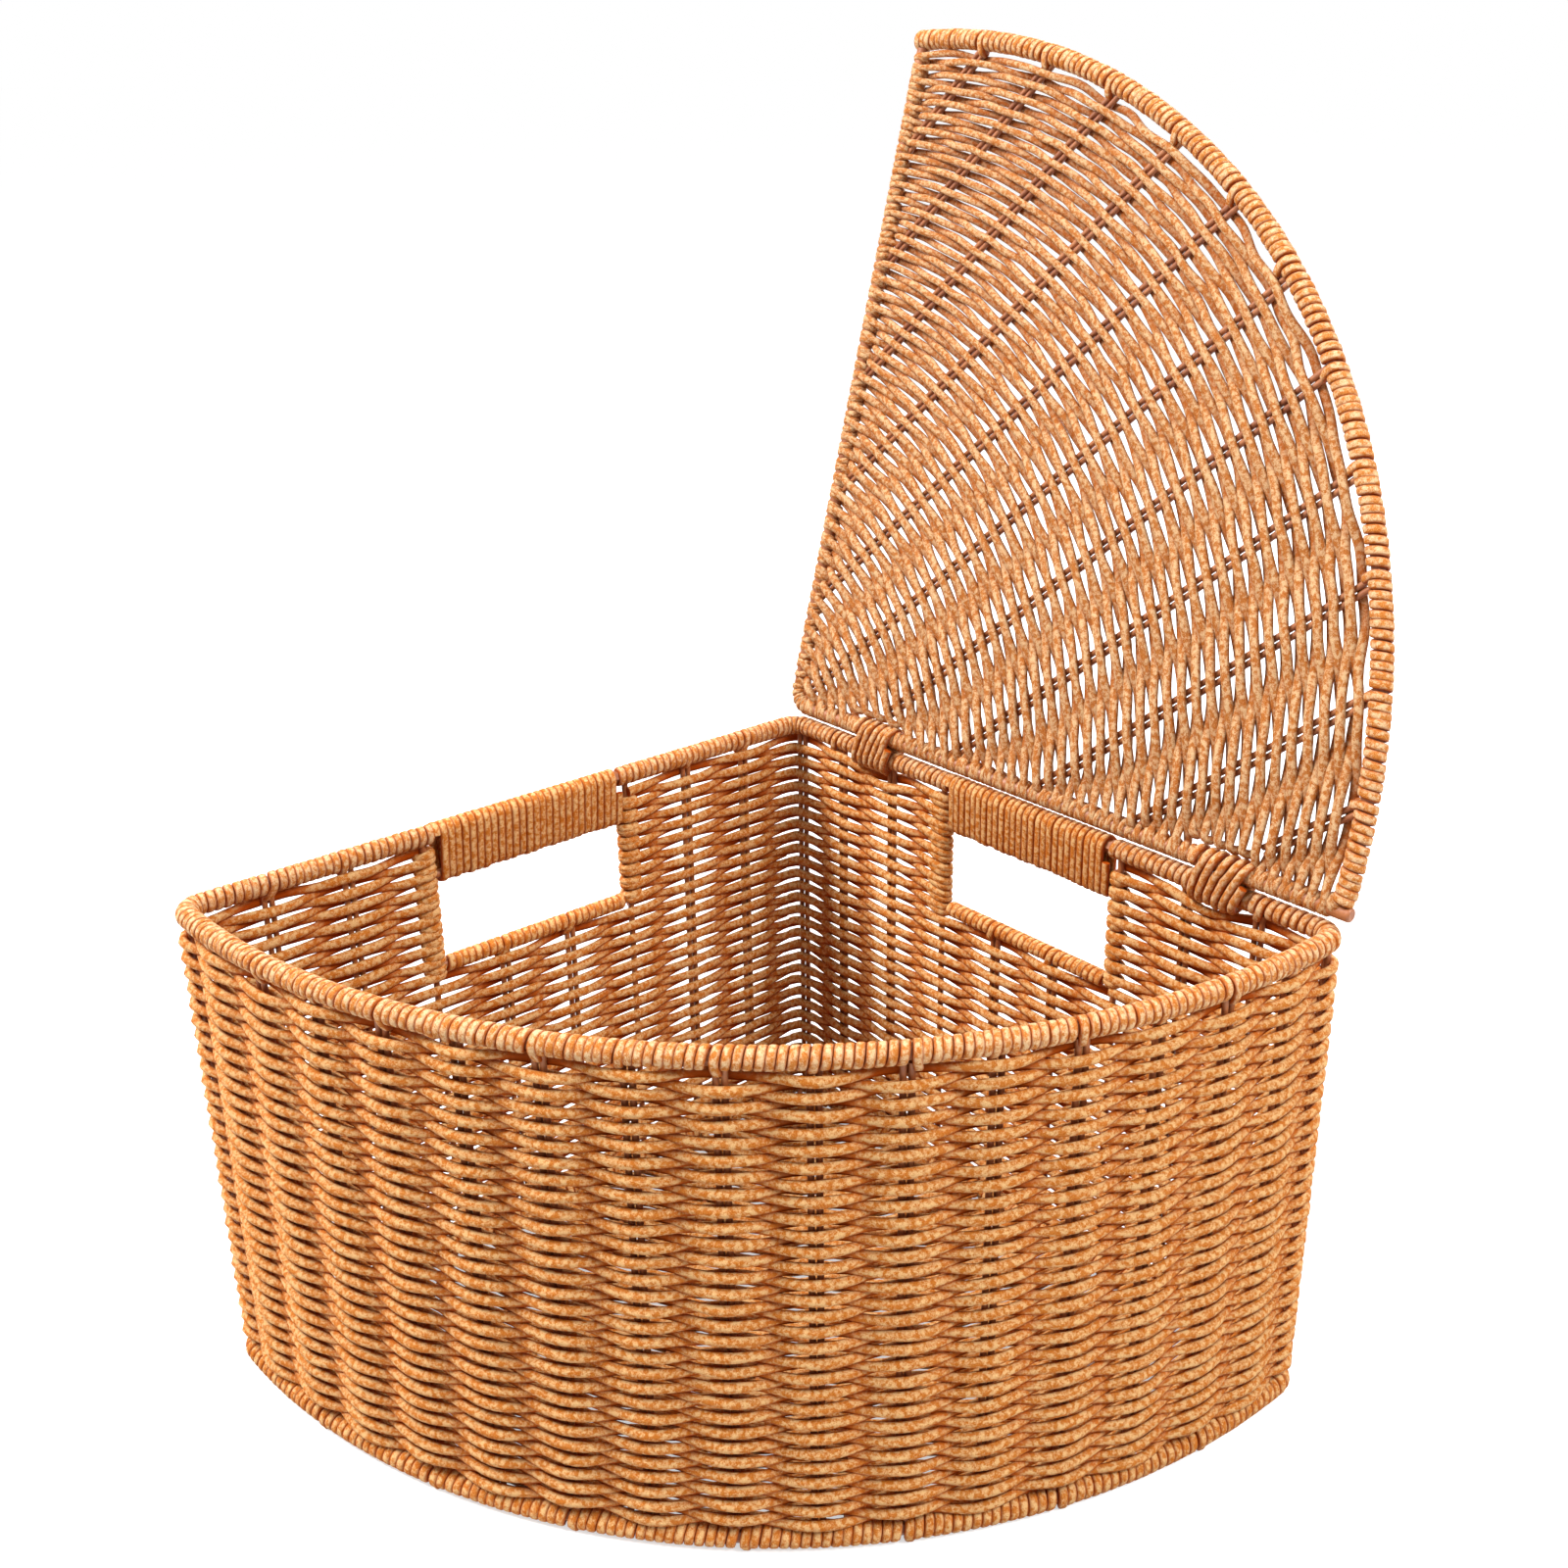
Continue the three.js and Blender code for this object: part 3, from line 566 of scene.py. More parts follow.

# %% [markdown]
# ## The strand's painted shade
# Where cord lies against cord it is painted darker, as shade. Painting that by hand on metres of
# cord is out of the question, and a shader can't know where the next strand lies. So it is worked
# out ring by ring while the strand is still straight, by a rule that each weave or winding brings
# along.

# %% Strand maker
def paint_shade_on_strand(mesh, sides, caps, painted_shade_depth):
    places = np.empty(3 * len(mesh.vertices))
    mesh.vertices.foreach_get("co", places)
    rings = 1000 * places.reshape(-1, 3)[caps:].reshape(-1, sides, 3)
    middle = rings.mean(axis=1, keepdims=True)
    reach = np.linalg.norm(rings - middle, axis=2).max(axis=1)[:, None, None]
    depth = np.concatenate([np.ones(caps), painted_shade_depth(middle, (rings - middle) / reach).ravel()])
    # The attribute is painted shade: how dark the paper turns at each vertex.
    mesh.attributes.new("painted_shade_depth", "FLOAT", "POINT").data.foreach_set("value", depth)


def strand_mesh(name, runs, thick, profile=None, sides=8, start=None, radii=None, painted_shade_depth=None):
    if profile:
        sides = len(profile.data.splines[0].points)
    mesh = tube_mesh(name, runs, thick, profile, sides, radii)
    caps = len(mesh.vertices) - sides * sum(len(run) for run in runs)
    map_strand(mesh, runs, sides, caps, start)
    if painted_shade_depth:
        paint_shade_on_strand(mesh, sides, caps, painted_shade_depth)
    mesh.polygons.foreach_set("use_smooth", np.repeat(True, len(mesh.polygons)))
    return mesh


# A strand with a rule gets its painted shade as an attribute.
print("strands with a rule get the stain 'painted_shade_depth'")

# %% [markdown]
# ## Bending a mesh and putting it in place
# A strand that winds or weaves round a bent bar is hard to draw there and easy to draw on a
# straight one. So such a strand is made straight first, and then every vertex is moved by one rule.
# A finished mesh becomes a piece: it takes its finish, rides on a body of the frame and stands
# for the solids that it hides.

# %% Bend and place
def bend_mesh(mesh, bend):
    """Moves every vertex by a rule from three lists of millimetres to points in metres."""
    flat = np.empty(3 * len(mesh.vertices))
    mesh.vertices.foreach_get("co", flat)
    mesh.vertices.foreach_set("co", bend(*(flat.reshape(-1, 3) * 1000).T).ravel())


def add_piece(name, mesh, material, body, stands_for):
    mesh.materials.append(material)
    mesh.update()
    piece = bpy.data.objects.new(name, mesh)
    scene.collection.objects.link(piece)
    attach(piece, body)
    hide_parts(*stands_for)


# %% [markdown]
# ## Rows of the walls: uneven by hand
# Handwork is never quite even. Shaking every point by chance would make the cord look hairy, since
# a stiff cord bends slowly. So each row gets a slow wander instead, a sum of a few long waves. The
# waves come from a seeded chance, so they are the same on every run.

# %% Wander of a row
WAVES, WAVE_RANGES = 4, ((0.004, 0.05), (0, 6.3), (0.3, 1))
chance = random.Random(11)


class Waver:
    """A slow, seeded wander: a sum of waves, each with a frequency, a phase and a height."""

    def __init__(self, size):
        self.size = size
        self.waves = [[chance.uniform(*ends) for ends in WAVE_RANGES] for _ in range(WAVES)]

    def __call__(self, t):
        return self.size * sum(a * np.sin(2 * math.pi * f * t + p) for f, p, a in self.waves) / 2


print("a wander is a sum of", WAVES, "waves")

# %% [markdown]
# ## Rows of the walls: in and out
# A row passes outside one stake and inside the next, and the row above does the opposite. The
# crossings could be set point by point, but a cosine between stakes is very near to what a stiff
# cord does. At the top, the rows give way to the hinge bindings.

# %% Path of a wall row
ROWS = 57
ROW_PITCH = (WEAVE_HEAD - WEAVE_FOOT) / ROWS
SWING = 3.1
ROW_LIFT = 0.25
STEPS_BETWEEN, LEAST_STEP, STAKE_MARGIN = 8, 0.4, 60
BINDING_REACH, PUSH_DOWN, PUSH_LESS = 26, 3.6, 0.9
cuts = np.array([0.0, HINGE_END, FRONT_END, ROUND])
stake_ring = np.concatenate([stake_walk - ROUND, stake_walk, stake_walk + ROUND])
stake_sign = np.tile(np.where(np.arange(len(stake_walk)) % 2, -1, 1), 3)


def swing(distance, row):
    """How far a row stands out of the middle of the wall."""
    after = np.clip(np.searchsorted(stake_ring, distance, side="right"), 1, len(stake_ring) - 1)
    share = (distance - stake_ring[after - 1]) / (stake_ring[after] - stake_ring[after - 1])
    return SWING * np.cos(math.pi * share) * stake_sign[after - 1] * (-1 if row % 2 else 1)


def row_stations(low, high):
    """Distances along the walk: stakes, places between them, cuts, the crease and both ends."""
    marks = stake_ring[(stake_ring > low - STAKE_MARGIN) & (stake_ring < high + STAKE_MARGIN)]
    between = zip(marks[:-1], marks[1:])
    fine = np.concatenate([np.linspace(a, b, STEPS_BETWEEN + 1)[:-1] for a, b in between])
    fine = np.concatenate([fine, cuts, cuts - ROUND, [CREASE, low, high]])
    fine = np.unique(np.round(fine[(fine >= low - 1e-6) & (fine <= high + 1e-6)], 4))
    return fine[np.concatenate([[True], np.diff(fine) > LEAST_STEP])]


def row_height(row):
    return WEAVE_FOOT + (row + 0.5) * ROW_PITCH


def pushed_down(t, row):
    """The top rows give way below the two hinge bindings."""
    away = [np.abs(t - on_hinge_wall(place)) / BINDING_REACH for place in BINDINGS]
    near = sum(np.clip(1 - entry ** 2, 0, 1) ** 2 for entry in away)
    return near * max(0.0, PUSH_DOWN - PUSH_LESS * (ROWS - 1 - row))


def row_line(row, low, high, waver, out_waver):
    t = row_stations(low, high)
    z = row_height(row) + waver(t) + ROW_LIFT * np.cos(math.pi * row) - pushed_down(t, row)
    return np.column_stack([t, swing(t, row) + out_waver(t), z])


print(ROWS, "rows,", round(ROW_PITCH, 2), "mm from row to row")

# %% [markdown]
# ## Rows of the walls: rolled up
# The rows are woven as if the wall were cut open and laid out flat, and then the wall is rolled up
# by one rule. On the way the cord is pressed a little flat against the wall, more so in the
# straight walls, whose rows are pulled tight. A bevel can only be round, so the rows are drawn too
# deep and squeezed here. The same rule sharpens the bend of the back corner into a crease.

# %% Rolling up the walls
FLAT, STRAIGHT_FLAT = 0.87, 0.70
CREASE_RADII, CREASE_POWERS = (6.0, 13.0), (0.42, 0.85)


def creased(x, y, here):
    """Rows go round the back corner in a sharper bend than bars do, most of all on the inside."""
    sideways, back = BEND - x[here], BEND + y[here]
    radius = np.hypot(sideways, back)
    sharp = np.interp(radius, CREASE_RADII, CREASE_POWERS)
    x[here] = BEND - radius * np.clip(sideways / radius, 0, 1) ** sharp
    y[here] = radius * np.clip(back / radius, 0, 1) ** sharp - BEND
    return x, y


def roll_up(t, out, z):
    """From the unrolled wall to the shared frame; the cord is pressed a little flat on the way."""
    gone = np.mod(t, ROUND)
    flat = np.where((gone < HINGE_END) | (gone > FRONT_END), STRAIGHT_FLAT, FLAT)
    x, y = creased(*walk(t, flat * out), gone < BACK_LENGTH)
    return to_metres(np.column_stack([x, y, z]))


print("cord is pressed to", FLAT, "in the front and", STRAIGHT_FLAT, "in the straight walls")

# %% [markdown]
# ## Rows of the walls: painted shade
# A strand is painted darkest, as shade, on the side that lies in the weave, on the flanks where it
# squeezes past its neighbours and on its underside. A shader could look for near surfaces, but that
# is slow. The strand's own path tells as much, since it swings to and fro by a known amount.

# %% Painted shade in the weave
# How strongly each side of a strand is painted with shade.
LEAN_FULL, INWARD_FROM, UNDER_POWER = 0.6, 0.15, 1.5
SUNK_SHADE, FLANK_SHADE = 0.1, 0.6
SHADE_FROM, SHADE_RANGE = 0.1, 0.8


def weave_painted_shade(full, across, beside, inner, under):
    """How much painted shade a place on a strand gets, from how deep it lies in the weave: the side
    towards the middle of the wall or lid, the flanks where two strands squeeze past each other, and
    the underside. `across` and `beside` are axes of the straight strand."""
    def painted_shade_depth(middle, offset):
        outside = np.clip(middle[:, :, across] / (LEAN_FULL * full), -1, 1)
        sunk = 1 - np.abs(outside)
        inward = np.clip(INWARD_FROM - offset[:, :, across] * outside, 0, 1)
        flank = sunk * (SUNK_SHADE + FLANK_SHADE * offset[:, :, beside] ** 2)
        below = under * np.clip(-offset[:, :, beside], 0, 1) ** UNDER_POWER
        depth = np.clip((inner * inward + flank + below - SHADE_FROM) / SHADE_RANGE, 0, 1)
        return depth * depth * (3 - 2 * depth)
    return painted_shade_depth


print("stain is full at", round(SHADE_FROM + SHADE_RANGE, 2), "of the depth")

# %% [markdown]
# ## Rows of the walls: thickness and cutting
# The cord is pressed thinner where rows squeeze past each other between two stakes. Each wall is a
# piece of its own, as in the solid model. The three could be one piece, but then it would be too
# heavy to handle. So a strand is cut where two walls meet, and each stretch keeps its place along
# the strand, so that the paper runs on.

# %% Thickness and cutting
CORD, SQUEEZE = 4.4, 0.18
FRONT_FULL, STRAIGHT_FULL = 1.05, 1.12
CUT_NEAR = 0.01
WALLS = ("hinge", "front", "side")
wall_runs, wall_starts, wall_radii = ({wall: [] for wall in WALLS} for _ in range(3))


def pressed(out, full):
    """A strand is a little thinner where it squeezes past its neighbours between two stakes."""
    return 1.0 - SQUEEZE * np.clip(1 - (out / full) ** 2, 0, 1)


def share_out(line, start):
    """Cuts one strand where the walls meet and gives each stretch to its wall."""
    t = line[:, 0]
    steps = np.linalg.norm(np.diff(line, axis=0), axis=1)
    gone = start + np.concatenate([[0], np.cumsum(steps)]) / 1000
    past_cut = np.mod(t[:, None] - cuts[None, :3] + CUT_NEAR, ROUND)
    at_cut = np.isclose(past_cut, CUT_NEAR, atol=1e-3).any(axis=1)
    edges = sorted({0, len(t) - 1, *np.flatnonzero(at_cut).tolist()})
    for a, b in zip(edges[:-1], edges[1:]):
        middle = np.mod((t[a] + t[a + 1]) / 2, ROUND)
        wall = "hinge" if middle < HINGE_END else "front" if middle < FRONT_END else "side"
        full = FRONT_FULL if wall == "front" else STRAIGHT_FULL
        wall_runs[wall].append(line[a:b + 1] / [1000, 1000 * FLAT, 1000])
        wall_starts[wall].append(gone[a])
        wall_radii[wall].append(full * pressed(line[a:b + 1, 1], SWING))


print("wall cord is", CORD, "mm thick before it is pressed")

# %% [markdown]
# ## Rows of the walls: rings
# Below the handles a row goes all the way round, from the bend of the back corner until it is there
# again. One long spiral would do as well, but rings keep every row level and easy to count.

# %% Rings of the walls
ROW_WANDER, OUT_WANDER = 0.45, 0.2
ROW_START = 3.1
first_cut_row = next(r for r in range(ROWS) if row_height(r) + CORD / 2 > NOTCH_Z)
for row in range(first_cut_row):
    share_out(row_line(row, 0.0, ROUND, Waver(ROW_WANDER), Waver(OUT_WANDER)), ROW_START * row)
print(first_cut_row, "rows go all the way round")

# %% [markdown]
# ## Rows of the walls: zigzags
# Beside a handle the weaver turns back round the jamb. Rows cut off at the jamb would show their
# ends. So those rows form one long strand that zigzags upwards: one strand by the back corner, one
# by the front. Each turn goes one and a half times round the jamb, which is why the jambs look
# wrapped.

# %% Zigzags beside the handles
JAMB_ROW_WANDER = 0.4
BACK_START, FRONT_START = 200.0, 260.0
JAMB_TURN, LOOSE_TURN, LOOSEST_TURN = 3.5, 4.6, 8.0
JAMB_HALF_TURNS, HALF_TURN_STEPS = 3, 6
NEAR_JAMB, FAR_JAMB = 3 * WALL_STEP, 6 * WALL_STEP


def jamb_bow(before, after, edge, away, loose):
    """From the end of one row round the jamb to the start of the next."""
    turn = np.linspace(0, JAMB_HALF_TURNS * math.pi, JAMB_HALF_TURNS * HALF_TURN_STEPS + 1)[1:-1]
    wide = np.where(np.sin(turn) > 0, JAMB_TURN, loose)
    rise = (after[2] - before[2]) * turn / (JAMB_HALF_TURNS * math.pi)
    along, out = edge + away * wide * np.sin(turn), before[1] * np.cos(turn)
    return np.column_stack([along, out, before[2] + rise])


def zigzag(low, high, start, low_turn, high_turn):
    lines = []
    for row in range(first_cut_row, ROWS):
        line = row_line(row, low, high, Waver(JAMB_ROW_WANDER), Waver(OUT_WANDER))
        forward = (row - first_cut_row) % 2 == 0
        if not forward:
            line = line[::-1]
        if lines:
            edge, away, loose = (low, -1, low_turn) if forward else (high, 1, high_turn)
            lines.append(jamb_bow(lines[-1][-1], line[0], edge, away, loose))
        lines.append(line)
    share_out(np.concatenate(lines), start)


zigzag(
    on_side_wall(NEAR_JAMB) - ROUND, on_hinge_wall(NEAR_JAMB),
    BACK_START, LOOSE_TURN, LOOSEST_TURN,
)
zigzag(on_hinge_wall(FAR_JAMB), on_side_wall(FAR_JAMB), FRONT_START, JAMB_TURN, JAMB_TURN)
# Wall rows are painted darker as shade inside the weave, on their flanks and on their undersides.
wall_painted_shade = weave_painted_shade(SWING / FLAT, 1, 2, 0.9, 0.55)
for wall, runs in wall_runs.items():
    name = f"{wall}_wall_rows"
    starts, radii = wall_starts[wall], wall_radii[wall]
    mesh = strand_mesh(name, runs, CORD, start=starts, radii=radii, painted_shade_depth=wall_painted_shade)
    bend_mesh(mesh, roll_up)
    add_piece(name, mesh, weave_paper, "basket", [f"{wall}_wall_weave"])

# %% [markdown]
# ## Windings: outline and belt
# The bars are hidden under turn after turn of tight cord. A round bevel would look like a spring.
# Cord that is pulled tight goes flat, so the coil gets a flattened outline of its own as bevel
# object. One turn is a closed belt of points: a ring round one bar, or a longer loop round two.

# %% Outlines and belts
SQUARENESS = 0.65


def flat_outline(name, thick, wide, sides=10):
    curve = bpy.data.curves.new(name, "CURVE")
    curve.dimensions = "2D"
    line = curve.splines.new("POLY")
    line.points.add(sides - 1)
    line.use_cyclic_u = True
    for number in range(sides):
        angle = -2 * math.pi * (number + 0.5) / sides
        across, along = math.cos(angle), math.sin(angle)
        across = math.copysign(abs(across) ** SQUARENESS, across) * thick / 2000
        along = math.copysign(abs(along) ** SQUARENESS, along) * wide / 2000
        line.points[number].co = (across, along, 0, 1)
    outline = bpy.data.objects.new(name, curve)
    scene.collection.objects.link(outline)
    return outline


def round_belt(radius, steps=16):
    angle = -2 * math.pi * np.arange(steps) / steps
    return radius * np.column_stack([np.cos(angle), np.sin(angle)])


def double_belt(upper, lower, drop, steps=7):
    """A belt round two bars: the upper one at zero, the lower one a drop below it."""
    over, under = np.linspace(math.pi, 0, steps), np.linspace(0, -math.pi, steps)
    top = upper * np.column_stack([np.cos(over), np.sin(over)])
    foot = lower * np.column_stack([np.cos(under), np.sin(under)]) - [0, drop]
    share = np.array([[0.33], [0.67]])
    down = top[-1] + (foot[0] - top[-1]) * share
    up = foot[-1] + (top[0] - foot[-1]) * share
    return np.concatenate([top, down, foot, up])


rim_cord = flat_outline("rim_cord", 2.5, 3.6)
arc_cord = flat_outline("arc_cord", 2.6, 3.7)
base_cord = flat_outline("base_cord", 2.8, 3.9)
grip_cord = flat_outline("grip_cord", 2.4, 3.65)
print("outlines for rim, lid arc, base and grips")

# %% [markdown]
# ## Windings: turn after turn
# A winding is easiest to make on a straight, upright bar, where turn follows turn. The mesh of that
# straight coil is then bent along the real bar. A screw modifier would make every turn alike; here
# the widths vary by chance. At a stake one slack turn hangs lower and leaves a dark gap beside it:
# it ties the stake's head.

# %% Coils
TIE_SAG, HUNG_SAG, TIE_SLANT = 3.0, 1.6, 2.0
TIGHT_SHARE = 0.2


def coil(
    length, turns, belt, seed,
    ties=(), hung=(), lean=None, tie_axis=1, tie_wide=1.3, uneven=0.1,
):
    """Turn after turn of a belt. Ties are slack, slanted turns; hung turns only sag a little."""
    luck = random.Random(seed)
    widths = np.array([luck.uniform(1 - uneven, 1 + uneven) for _ in range(turns)])
    tied = {min(turns - 1, int(place / length * turns)) for place in ties}
    sagging = {min(turns - 1, int(place / length * turns)) for place in hung}
    for turn in tied:
        widths[turn] = tie_wide
    edges = np.concatenate([[0], np.cumsum(widths)]) / widths.sum() * length
    share = np.arange(len(belt)) / len(belt)
    low, high = belt[:, 1].min(), belt[:, 1].max()
    hang = np.clip(belt[:, tie_axis] / belt[:, tie_axis].min(), 0, 1) ** 2
    points = []
    for turn in range(turns):
        across = belt * luck.uniform(1 - TIGHT_SHARE * uneven, 1 + TIGHT_SHARE * uneven)
        along = edges[turn] + (edges[turn + 1] - edges[turn]) * share
        if turn in tied or turn in sagging:
            across[:, tie_axis] -= hang * (TIE_SAG if turn in tied else HUNG_SAG)
        if turn in tied:
            along = along - TIE_SLANT * hang
        if lean is not None:
            along = along + lean[turn] * (belt[:, 1] - low) / (high - low)
        points.append(np.column_stack([across, along]))
    return np.concatenate(points)


print("a tie hangs", TIE_SAG, "mm lower than the other turns")

# %% [markdown]
# ## Windings: bent along the bar
# A new coil is still straight. A curve modifier could bend it, but the walk round the walls knows
# every bend already. So one rule takes each vertex to its place, and painted shade goes on the
# flanks, where turn lies against turn.

# %% Bent windings
# Where the painted shade on a turn's flanks begins, and how fast it grows.
FLANK_FROM, FLANK_RANGE, FLANK_POWER = 0.55, 0.4, 1.5


def round_the_walls(start, height):
    def bend(out, up, along):
        x, y = walk(start + along, out)
        return to_metres(np.column_stack([x, y, height + up]))
    return bend


def turn_painted_shade(middle, offset):
    """Painted shade on the flanks of a turn, where it lies against the next."""
    return np.clip((np.abs(offset[:, :, 2]) - FLANK_FROM) / FLANK_RANGE, 0, 1) ** FLANK_POWER


def wind(name, line, outline, bend, stands_for, seed, material, body="basket", thick=0.0):
    runs = [line / 1000]
    mesh = strand_mesh(name, runs, thick, profile=outline, start=[seed], painted_shade_depth=turn_painted_shade)
    bend_mesh(mesh, bend)
    add_piece(name, mesh, material, body, [stands_for])


# The turns are painted darker, as shade, towards their flanks.
print("turns are stained from", FLANK_FROM, "of their half width outwards")

# %% [markdown]
# ## Windings of rim and base
# The rim bar is wound in two stretches, round the back corner and round the front, because the
# handles lie between them. Every second stake of the front is tied, the others only make their turn
# sag. The base bar is wound all the way round with a thicker, darker cord; where it stands on the
# table, the turns are flattened.

# %% Windings of rim and base
RIM_TURN, BASE_TURN = 3.62, 3.9
RIM_UNEVEN = 0.14
RIM_DEEP, BASE_DEEP = 1.45, 1.4
END_GAP, END_ROOM = 0.3, 4
TABLE = 1.45
rim_belt = round_belt(WOUND / 2 - RIM_DEEP)
base_belt = round_belt(WOUND / 2 - BASE_DEEP)


def stake_places(front, wall):
    places = [on_front(k) for k in front]
    places += [on_hinge_wall(k * WALL_STEP) for k in wall]
    return places + [on_side_wall(k * WALL_STEP) for k in wall]


def places_between(places, start, length):
    along = [np.mod(place - start, ROUND) for place in places]
    return [place for place in along if END_ROOM < place < length - END_ROOM]


tie_places = stake_places(range(2, FRONT_STEPS, 2), (1, 8))
hung_places = stake_places(range(1, FRONT_STEPS, 2), (2, 7))
rim_stretches = (
    ("back", on_side_wall(HANDLE_FROM) - ROUND, on_hinge_wall(HANDLE_FROM), 21),
    ("front", on_hinge_wall(HANDLE_TO), on_side_wall(HANDLE_TO), 22),
)
for name, start, stop, seed in rim_stretches:
    length = stop - start
    ties = places_between(tie_places, start, length)
    hung = places_between(hung_places, start, length)
    turns = round(length / RIM_TURN)
    line = coil(length - 2 * END_GAP, turns, rim_belt, seed, ties, hung, uneven=RIM_UNEVEN)
    bend = round_the_walls(start + END_GAP, RIM_Z)
    wind(f"rim_winding_{name}", line, rim_cord, bend, f"rim_wrap_{name}", seed, wound_paper)

base_ties = places_between(tie_places, 0.0, ROUND)
line = coil(ROUND - 2 * END_GAP, round(ROUND / BASE_TURN), base_belt, 23, base_ties)
line[:, 1] = np.maximum(line[:, 1], TABLE - BASE_Z)
bend = round_the_walls(END_GAP, BASE_Z)
wind("base_winding", line, base_cord, bend, "base_rim_wrap", 23, weave_paper)

# %% [markdown]
# ## Grips and sills of the handles
# A grip is wound round the rim bar and the rail below it, which makes a flat band that is kind to
# the hand. It could be modelled as a ribbed board, but from the side its turns have to show. Below
# the hole the sill is a single wound rod, and two of its turns tie the short stakes that end there.

# %% Grips and sills
HANDLE_TURNS, HANDLE_GAP = 27, 0.5
SHORT_STAKE_TIES = (30.1, 65.7)
RAIL_RADIUS = 2.0
OVER_BAR, OVER_RAIL, OVER_SILL = 0.7, 0.75, 0.7
grip_belt = double_belt(BAR / 2 + OVER_BAR, RAIL_RADIUS + OVER_RAIL, RIM_Z - RAIL_Z)
sill_belt = round_belt(RAIL_RADIUS + OVER_SILL)
handle_length = HANDLE_TO - HANDLE_FROM - 2 * HANDLE_GAP
handles = (("hinge", on_hinge_wall(HANDLE_FROM), 31), ("side", on_side_wall(HANDLE_TO), 41))
for wall, start, seed in handles:
    line = coil(handle_length, HANDLE_TURNS, grip_belt, seed)
    bend = round_the_walls(start + HANDLE_GAP, RIM_Z)
    wind(f"{wall}_grip", line, grip_cord, bend, f"{wall}_wall_grip_winding", seed, weave_paper)
    line = coil(handle_length, HANDLE_TURNS, sill_belt, seed + 1, ties=SHORT_STAKE_TIES)
    bend = round_the_walls(start + HANDLE_GAP, SILL_Z)
    wind(f"{wall}_sill", line, grip_cord, bend, f"{wall}_wall_sill_wrap", seed + 1, weave_paper)

# %% [markdown]
# ## Winding of the lid's arc
# The lid's arc is wound like the rim, but with a softer cord and less care, so its turns are lumpy,
# and its ties hang inwards, over the heads of the lid's stakes. The straight coil is bent round the
# arc of the flat lid and turned up to where the lid stands open, all in one rule. The piece rides
# on the lid, so it swings with it.

# %% Winding of the lid's arc
EDGE_GAP = 0.6
LID_TURN = math.asin((ARC_INSET - BAR / 2 - EDGE_GAP) / ARC_RADIUS)
LID_STEPS, LID_DEEP = 12, 1.55
LID_ARC_START, LID_ARC_PAST = 0.8, 7.5
LID_ARC_TURNS, LID_ARC_UNEVEN, LID_TIE_WIDE = 136, 0.22, 1.35
lid_arc_length = ARC_RADIUS * (math.pi / 2 + 2 * LID_TURN) + LID_ARC_PAST


def lid_arc_plan(angle, out=0.0):
    x = ARC_INSET + (ARC_RADIUS + out) * np.cos(angle)
    y = -ARC_INSET + (ARC_RADIUS + out) * np.sin(angle)
    return np.stack([x, y], axis=-1)


def round_the_lid(out, up, along):
    plan = lid_arc_plan(LID_TURN - (along + LID_ARC_START) / ARC_RADIUS, out)
    return lid_to_metres(np.column_stack([plan, up]))


stake_turns = [ARC_SWEEP * k / LID_STEPS for k in range(1, LID_STEPS)]
lid_ties = [ARC_RADIUS * (LID_TURN - CORNER_ANGLE + turn) for turn in stake_turns]
lid_belt = round_belt(WOUND / 2 - LID_DEEP)
line = coil(
    lid_arc_length - LID_ARC_START, LID_ARC_TURNS, lid_belt, 51, lid_ties,
    tie_axis=0, tie_wide=LID_TIE_WIDE, uneven=LID_ARC_UNEVEN,
)
wind("lid_arc_winding", line, arc_cord, round_the_lid, "lid_arc_wrap", 5.1, wound_paper, body="lid")

# %% [markdown]
# ## Hinge bindings
# The hinge has no metal: six turns of cord round the wound rim and the lid's rod, at two places.
# The rod turns inside them. The cord is free to stay round here, so the bindings get a round bevel.
# Each turn leans, a little more from turn to turn, as a hand winds it.

# %% Hinge bindings
BINDING_TURNS, BINDING_LENGTH, BINDING_CORD = 6, 23.4, 3.7
BINDING_START = 13.5
ROUND_ROD, ROUND_RIM = 4.7, 6.5
binding_belt = double_belt(ROUND_ROD, ROUND_RIM, HINGE_Z - RIM_Z, steps=9)
binding_leans = ((3.5, 4.5, 4.5, 5.5, 6.0, 5.5), (2.5, 4.0, 4.5, 6.0, 7.5, 8.0))
for number, (place, lean) in enumerate(zip(BINDINGS, binding_leans), start=1):
    seed = 60 + number
    line = coil(BINDING_LENGTH, BINDING_TURNS, binding_belt, seed, lean=lean)
    bend = round_the_walls(on_hinge_wall(place - BINDING_START), HINGE_Z)
    stands_for = f"hinge_binding_{number}"
    wind(f"hinge_tie_{number}", line, None, bend, stands_for, seed, wound_paper, thick=BINDING_CORD)
for outline in (rim_cord, arc_cord, base_cord, grip_cord):
    bpy.data.objects.remove(outline)

# %% [markdown]
# ## Wall stakes and handle frames
# The stakes are straight wire rods, side by side in pairs, so they are strands with only two
# points. Jambs, sill and rail of a handle are single and a little thicker. Cylinders would do as
# well, but the strand maker is already there.

# %% Wall stakes and handle frames
STAKE, PAIR = 2.6, (-1.55, 1.55)
JAMB_RADIUS, ONE_MM_TUBE = 1.5, 2.0
STAKE_FOOT, STAKE_HEAD = WEAVE_FOOT - 1.0, RIM_Z - 4.0
AT_HANDLES = (3, 4, 5, 6, 28, 29, 30, 31)


def upright(distance, foot, head):
    x, y = walk(np.array([distance, distance]), 0.0)
    return to_metres(np.column_stack([x, y, [foot, head]]))


def level_bar(first, last, height):
    x, y = walk(np.linspace(first, last, 5), 0.0)
    return to_metres(np.column_stack([x, y, np.full(len(x), height)]))


